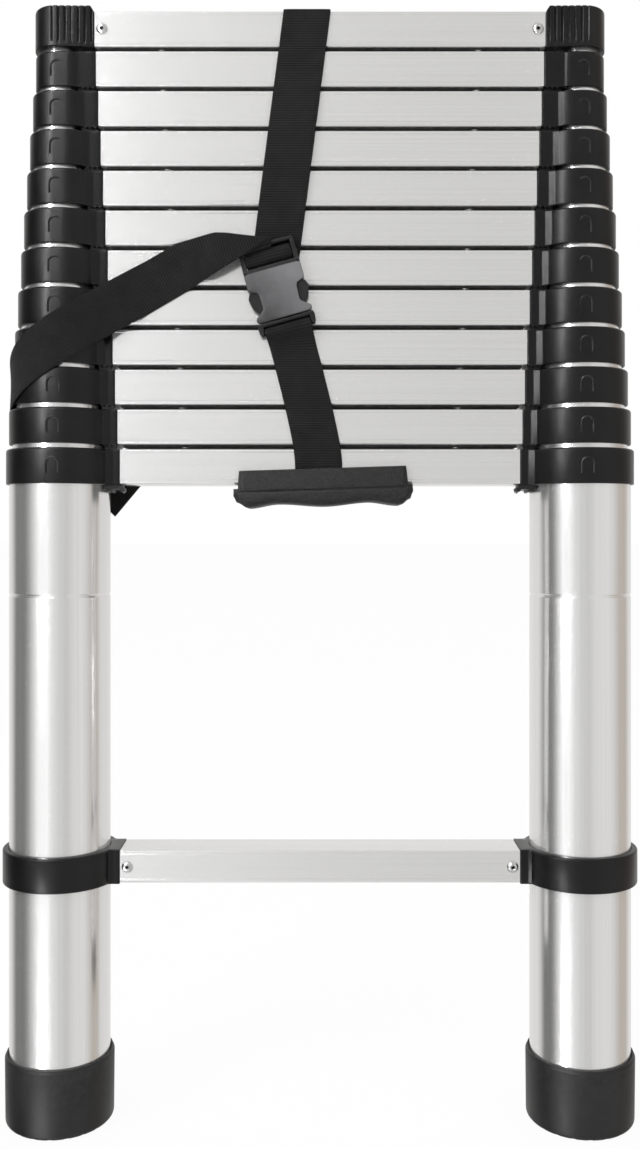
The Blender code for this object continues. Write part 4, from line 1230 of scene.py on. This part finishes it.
def makeLowerStrap():
    low = levelZ(1) - rungHalfHeight - seatGap - strapHalf
    start = onBuckle(0, strapLook["belowBuckle"], 0).z
    path = turned([(-strapPlane, start), (-strapPlane, low), (strapPlane, low),
                   (strapPlane, low + strapLook["backRise"])], strapLook["bend"])
    rows = threaded(lowerThread, strapLook["width"] / 2)
    for i, (left, right) in enumerate(rows):    # the bar's loop gives over to the strap's own line
        centre = (left + right) / 2
        shift = Vector((lowerCentre(centre.z) - centre.x, 0, 0)) * smooth(0, len(rows) - 1, i)
        rows[i] = (left + shift, right + shift)
    path = [point for point, in densified([(point,) for point in path], strapLook["step"])]
    half = strapLook["width"] / 2 / math.cos(math.atan(strapLook["lowerLean"] / 2))
    rows += leaning(path, lowerCentre, half)
    bm = newBand()
    length = addBand(bm, densified(rows, strapLook["step"]), -1)
    strap = finishPiece("strapLower", bm, [strapWebbing], "base", "webbing", "strap_lower")


makeUpperStrap()
makeLowerStrap()
print("straps ready")


# The loose tail: out of the buckle's upper slot, over the top bar, round the left stile and behind it

# closesIn: shares of the turn round the stile at which the tail lies on the third, second and first ring
tailLook = {"overX": -64.0 * mm, "overGap": 1.7 * mm, "onRungX": -100.0 * mm, "leavesRungX": -130.0 * mm,
            "sideGap": 0.5 * mm, "backGap": 2.2 * mm, "closesIn": (0.46, 0.6, 0.78), "leavesStile": 66.0,
            "endRun": 24.0 * mm, "endFlat": 8.0 * mm, "endTurn": -0.12, "gathered": 36.0 * mm,
            "startDrop": 4.2 * mm, "step": 4.0 * mm, "rowGap": 3.0 * mm, "slotPlay": 0.2 * mm,
            "rungSteps": 24, "stileSteps": 64}
# slope of the tail below the level, in degrees, at distances along it in mm
tailRoute = ((0, 30), (60, 31), (90, 32), (112, 33), (140, 33), (165, 26), (200, 33), (290, 42))
# where the strap turns over the top bar: both edges, in mm from the ladder's middle and the floor, and depth
turnRows = (((-56.2, 649.8), (-36.0, 655.4), -22.0), ((-57.0, 650.6), (-36.4, 656.6), -26.6),
            ((-58.4, 649.9), (-36.6, 659.4), -27.4), ((-60.0, 648.6), (-39.0, 662.9), -27.6),
            ((-63.0, 646.8), (-48.0, 663.0), -27.6), ((-67.0, 644.5), (-58.0, 663.2), -27.2),
            ((-72.0, 641.5), (-68.0, 663.8), -26.0), ((-78.0, 638.4), (-78.0, 663.6), -24.4))
# the tail's gathered start, upper and lower edge
gatherRows = (((-39.9, 663.2), (-35.6, 662.2), -28.6), ((-47.3, 662.4), (-45.8, 655.4), -29.2),
              ((-59.1, 663.6), (-54.0, 649.9), -29.8), ((-69.5, 664.9), (-62.8, 644.4), -29.6),
              ((-78.2, 665.4), (-71.3, 639.4), -28.4), ((-89.6, 662.8), (-79.2, 635.2), -25.8))


def tailPlan():    # the tail seen from above, as points along it
    gaps = {3: tailLook["sideGap"], 2: tailLook["sideGap"], 1: tailLook["backGap"]}
    radii = [ringRadius(level) + gap + strapHalf for level, gap in gaps.items()]
    front, over, leaves = buckleLow.y - tailLook["overGap"], tailLook["overX"], tailLook["leavesRungX"]
    path = []
    for i in range(tailLook["rungSteps"] + 1):
        x = over + (leaves - over) * i / tailLook["rungSteps"]
        path.append(Vector((x, front + (-strapPlane - front) * smooth(over, tailLook["onRungX"], x))))
    corner = Vector((leaves + stileX, -strapPlane))
    first = math.atan2(corner.y, corner.x) - math.acos(radii[0] / corner.length)
    last = math.radians(tailLook["leavesStile"]) - 2 * math.pi
    for i in range(tailLook["stileSteps"] + 1):
        share = i / tailLook["stileSteps"]
        angle = first + (last - first) * share
        radius = through(list(zip(tailLook["closesIn"], radii)), share)
        path.append(Vector((radius * math.cos(angle) - stileX, radius * math.sin(angle))))
    path.append(path[-1] + Vector((math.sin(last), -math.cos(last))) * tailLook["endRun"])
    path.append(path[-1] + Vector((1, tailLook["endTurn"])) * tailLook["endFlat"])
    return path


def alongPlan(path, distance):
    for before, after in zip(path, path[1:]):
        length = (after - before).length
        if distance <= length or after is path[-1]:
            return before.lerp(after, distance / length)
        distance -= length


def edgePairs(rows):
    return [tuple(Vector((x, depth, z)) * mm for x, z in edges) for *edges, depth in rows]


def makeTail():
    path, width, begun = tailPlan(), strapLook["width"], tailLook["gathered"]
    rows = edgePairs(gatherRows)
    height = (rows[-1][0].z + rows[-1][1].z) / 2 - tailLook["startDrop"]
    rest = sum((b - a).length for a, b in zip(path, path[1:])) - begun
    count = round(rest / tailLook["step"])
    for i in range(count + 1):
        reached = rest * i / count
        slope = math.radians(through(tailRoute, reached / mm))
        pair = []
        for across in (width / 2, -width / 2):
            at = alongPlan(path, begun + reached + across * math.sin(slope))
            pair.append(Vector((at.x, at.y, height + across * math.cos(slope))))
        rows.append(tuple(pair))
        height -= rest / count * math.tan(slope)
    bm = newBand()
    length = addBand(bm, densified(rows, tailLook["rowGap"]), 1)
    length += addBand(bm, densified(edgePairs(turnRows), tailLook["rowGap"]), -1)
    length += addBand(bm, threaded(barWrap, width / 2 - tailLook["slotPlay"]), 1)
    tail = finishPiece("strapTail", bm, [strapWebbing], bodyOf(levels), "webbing", "strap_tail")


makeTail()
print("strap tail ready")


# Buckle: two crowned plates, bars and side pieces; places are in mm, to the right of and up the buckle

buckleDepth = (buckleHigh.y - buckleLow.y) / mm
plateLook = {"front": 2.0, "back": 1.7, "crown": 0.9, "backCrown": 0.3, "frameBottom": 12.6, "frameTop": 33.7,
             "slotBottom": 16.5, "slotTop": 30.5, "barBottom": 20.9, "barTop": 25.3, "barHalf": 19.0,
             "half": 21.5, "topHalf": 20.7}
maleLook = {"top": -24.5, "slotTop": -27.6, "barTop": -31.2, "barBottom": -33.6, "half": 21.0, "barHalf": 19.0}
plateWidths = ((-24.2, 17.6), (-22.6, 20.4), (-21.4, 21.2), (-20.0, 20.6), (-15.0, 14.4), (-13.0, 14.0),
               (-4.0, 14.4), (-1.6, 15.4), (0.4, 20.2), (1.4, 21.4), (3.0, 21.6), (12.0, 21.5), (14.2, 21.3))
# outlines of the right hand pieces, and of the tongue in the middle
postOutline = ((18.0, 13.5), (21.6, 13.5), (21.1, 32.0), (20.2, 33.6), (19.4, 33.6), (18.0, 32.0))
bracketOutline = ((17.4, -25.4), (21.2, -24.9), (21.9, -27.5), (21.4, -32.0), (20.2, -34.1), (18.4, -33.9),
                  (17.6, -31.0))
armOutline = ((9.0, -26.0), (13.0, -26.0), (13.2, -18.0), (17.2, -17.6), (21.2, -12.4), (23.0, -4.6),
              (21.4, -0.9), (18.0, 1.6), (13.0, 4.0), (9.0, 4.0))
tongueOutline = ((-2.4, -26.0), (2.4, -26.0), (2.4, -2.6), (1.2, -0.8), (-1.2, -0.8), (-2.4, -2.6))


def buckleRows(rows):
    return [[onBuckle(u * mm, w * mm, out * mm) for u, w, out in row] for row in rows]


def addPlate(bm, inner, outer, crown):    # from the inner face to the crowned outer one
    places = [math.sin(math.radians(-90 + 15 * i)) for i in range(13)]
    crown = math.copysign(crown, outer - inner)
    rows = []
    for w, half in plateWidths:
        face = [(s * half, w, outer - crown * (s * s * 0.55 + 0.45 * s ** 8)) for s in places]
        rows.append(face + [(s * half, w, inner) for s in reversed(places)])
    addSolid(bm, buckleRows(rows))


def addBar(bm, half, low, high, back, front, turn):    # a bar across the buckle with its long edges turned
    ring = []
    for w, out, start in ((high - turn, front - turn, 0), (low + turn, front - turn, 90),
                          (low + turn, back + turn, 180), (high - turn, back + turn, 270)):
        ring += arc((w, out), turn, start, start + 90, 3)
    addSolid(bm, buckleRows([[(u, w, out) for w, out in ring] for u in (-half, half)]))


def addPrism(bm, outline, back, front, turn):    # an outline through the buckle's depth, its rims turned
    centre = sum((Vector(point) for point in outline), Vector((0, 0))) / len(outline)
    rows = []
    for out, inset in ((back, turn), (back + turn, 0), (front - turn, 0), (front, turn)):
        spokes = [Vector(point) - centre for point in outline]
        rows.append([(*(centre + spoke * (1 - inset / spoke.length)), out) for spoke in spokes])
    addSolid(bm, buckleRows(rows))


def mirrored(outline, side):
    return [(side * u, w) for u, w in outline]


def makeFemaleBuckle():
    bm = bmesh.new()
    addPlate(bm, buckleDepth - plateLook["front"], buckleDepth, plateLook["crown"])
    addPlate(bm, plateLook["back"], 0, plateLook["backCrown"])
    addBar(bm, plateLook["half"], plateLook["frameBottom"], plateLook["slotBottom"], 0, buckleDepth - 0.5, 1.0)
    addBar(bm, plateLook["topHalf"], plateLook["slotTop"], plateLook["frameTop"], 0.4, buckleDepth - 1.1, 1.3)
    addBar(bm, plateLook["barHalf"], plateLook["barBottom"], plateLook["barTop"], 2.0, 5.4, 1.2)
    for side, _ in sides:
        addPrism(bm, mirrored(postOutline, side), 0.2, buckleDepth - 0.8, 0.6)
    finishPiece("buckleFemale", bm, [bucklePlastic], bodyOf(levels), "buckle_plastic", "buckle_female",
                sharp=40)


def makeMaleBuckle():
    bm = bmesh.new()
    addBar(bm, maleLook["half"], maleLook["slotTop"], maleLook["top"], 0.6, buckleDepth - 0.5, 1.0)
    addBar(bm, maleLook["barHalf"], maleLook["barBottom"], maleLook["barTop"], 1.4, 5.4, 1.2)
    for side, _ in sides:
        addPrism(bm, mirrored(bracketOutline, side), 0.3, buckleDepth - 0.6, 0.7)
        addPrism(bm, mirrored(armOutline, side), 2.2, buckleDepth - 2.3, 0.5)
    addPrism(bm, tongueOutline, 2.3, buckleDepth - 2.4, 0.4)
    finishPiece("buckleMale", bm, [prongPlastic], "base", "buckle_plastic", "buckle_male", sharp=40)


makeFemaleBuckle()
makeMaleBuckle()
print("buckle ready")


# Carry handle: a clipped channel with a flat panel and a waved grip, in mm

gripLook = {"x": 1.8, "tilt": -1.8, "half": 66.8, "panelHalf": 63.0, "inside": 18.5, "panelFront": 21.9,
            "gripFront": 26.3, "floor": -16.85, "panelTop": -1.25, "backTop": -5.25, "back": 21.8, "rows": 120,
            "lip": 2.2, "edge": 1.1, "bevel": 1.4, "tuckRun": 5.0, "frontTuck": 3.6, "backTuck": 2.0,
            "brow": 2.4, "belly": 5.5}
# the grip's lower edge: place along it and height
gripWave = ((-66.8, -20.5), (-64.5, -24.8), (-56.6, -29.0), (-35.0, -26.4), (2.0, -29.2), (33.7, -27.0),
            (57.4, -30.2), (64.5, -26.0), (66.8, -21.0))


def gripSection(x):    # (y, z) loop from the panel's inner top round the front and the back
    far, end, edge = abs(x), gripLook["panelHalf"], gripLook["edge"]
    inside, floor = gripLook["inside"], gripLook["floor"]
    panel = 1 - smooth(end - 0.4, end + 0.4, far)    # 1 along the panel, 0 past its ends
    lip = floor + gripLook["lip"]
    top, back = (lip + (gripLook[key] - lip) * panel for key in ("panelTop", "backTop"))
    face = gripLook["panelFront"] - gripLook["bevel"] * smooth(end - 3.2, end - 0.6, far)
    tuck = smooth(gripLook["half"] - gripLook["tuckRun"], gripLook["half"], far)
    grip = gripLook["gripFront"] - gripLook["frontTuck"] * tuck
    rear = gripLook["back"] - gripLook["backTuck"] * tuck
    low, shoulder, brow = through(gripWave, x), floor + 0.4, gripLook["brow"]
    belly = min(gripLook["belly"], (shoulder - 3.4 - low) * 0.8)
    loop = [(-inside, top - 0.8), (-inside - 0.8, top)]
    loop += arc((-face + edge, top - edge), edge, 90, 180, 4)
    loop += [(-face, shoulder + 1.6), (-face - 0.25, shoulder + 0.5)]
    loop += arc((-grip + brow, shoulder - 3.0), brow, 100, 180, 5)
    loop += arc((-grip + belly, low + belly), belly, 180, 270, 7)
    loop += arc((rear - belly, low + belly), belly, 270, 360, 7)
    loop += arc((rear - edge, back - edge), edge, 0, 90, 4)
    return loop + [(inside, back - 0.6), (inside, floor), (-inside, floor)]


def makeHandle():
    half, count = gripLook["half"], gripLook["rows"]
    tilt = Matrix.Rotation(math.radians(gripLook["tilt"]), 4, "Y")
    turn = Matrix.Translation((gripLook["x"] * mm, 0, levelZ(1))) @ tilt
    places = [half * math.sin(math.pi / 2 * (2 * i / count - 1)) for i in range(count + 1)]
    bm = bmesh.new()
    addSolid(bm, [[turn @ (Vector((x, y, z)) * mm) for y, z in gripSection(x)] for x in places])
    finishPiece("carryHandle", bm, [handlePlastic], "base", "handle_plastic", "carry_handle", sharp=42)


makeHandle()
print("handle ready")

bpy.context.view_layer.update()
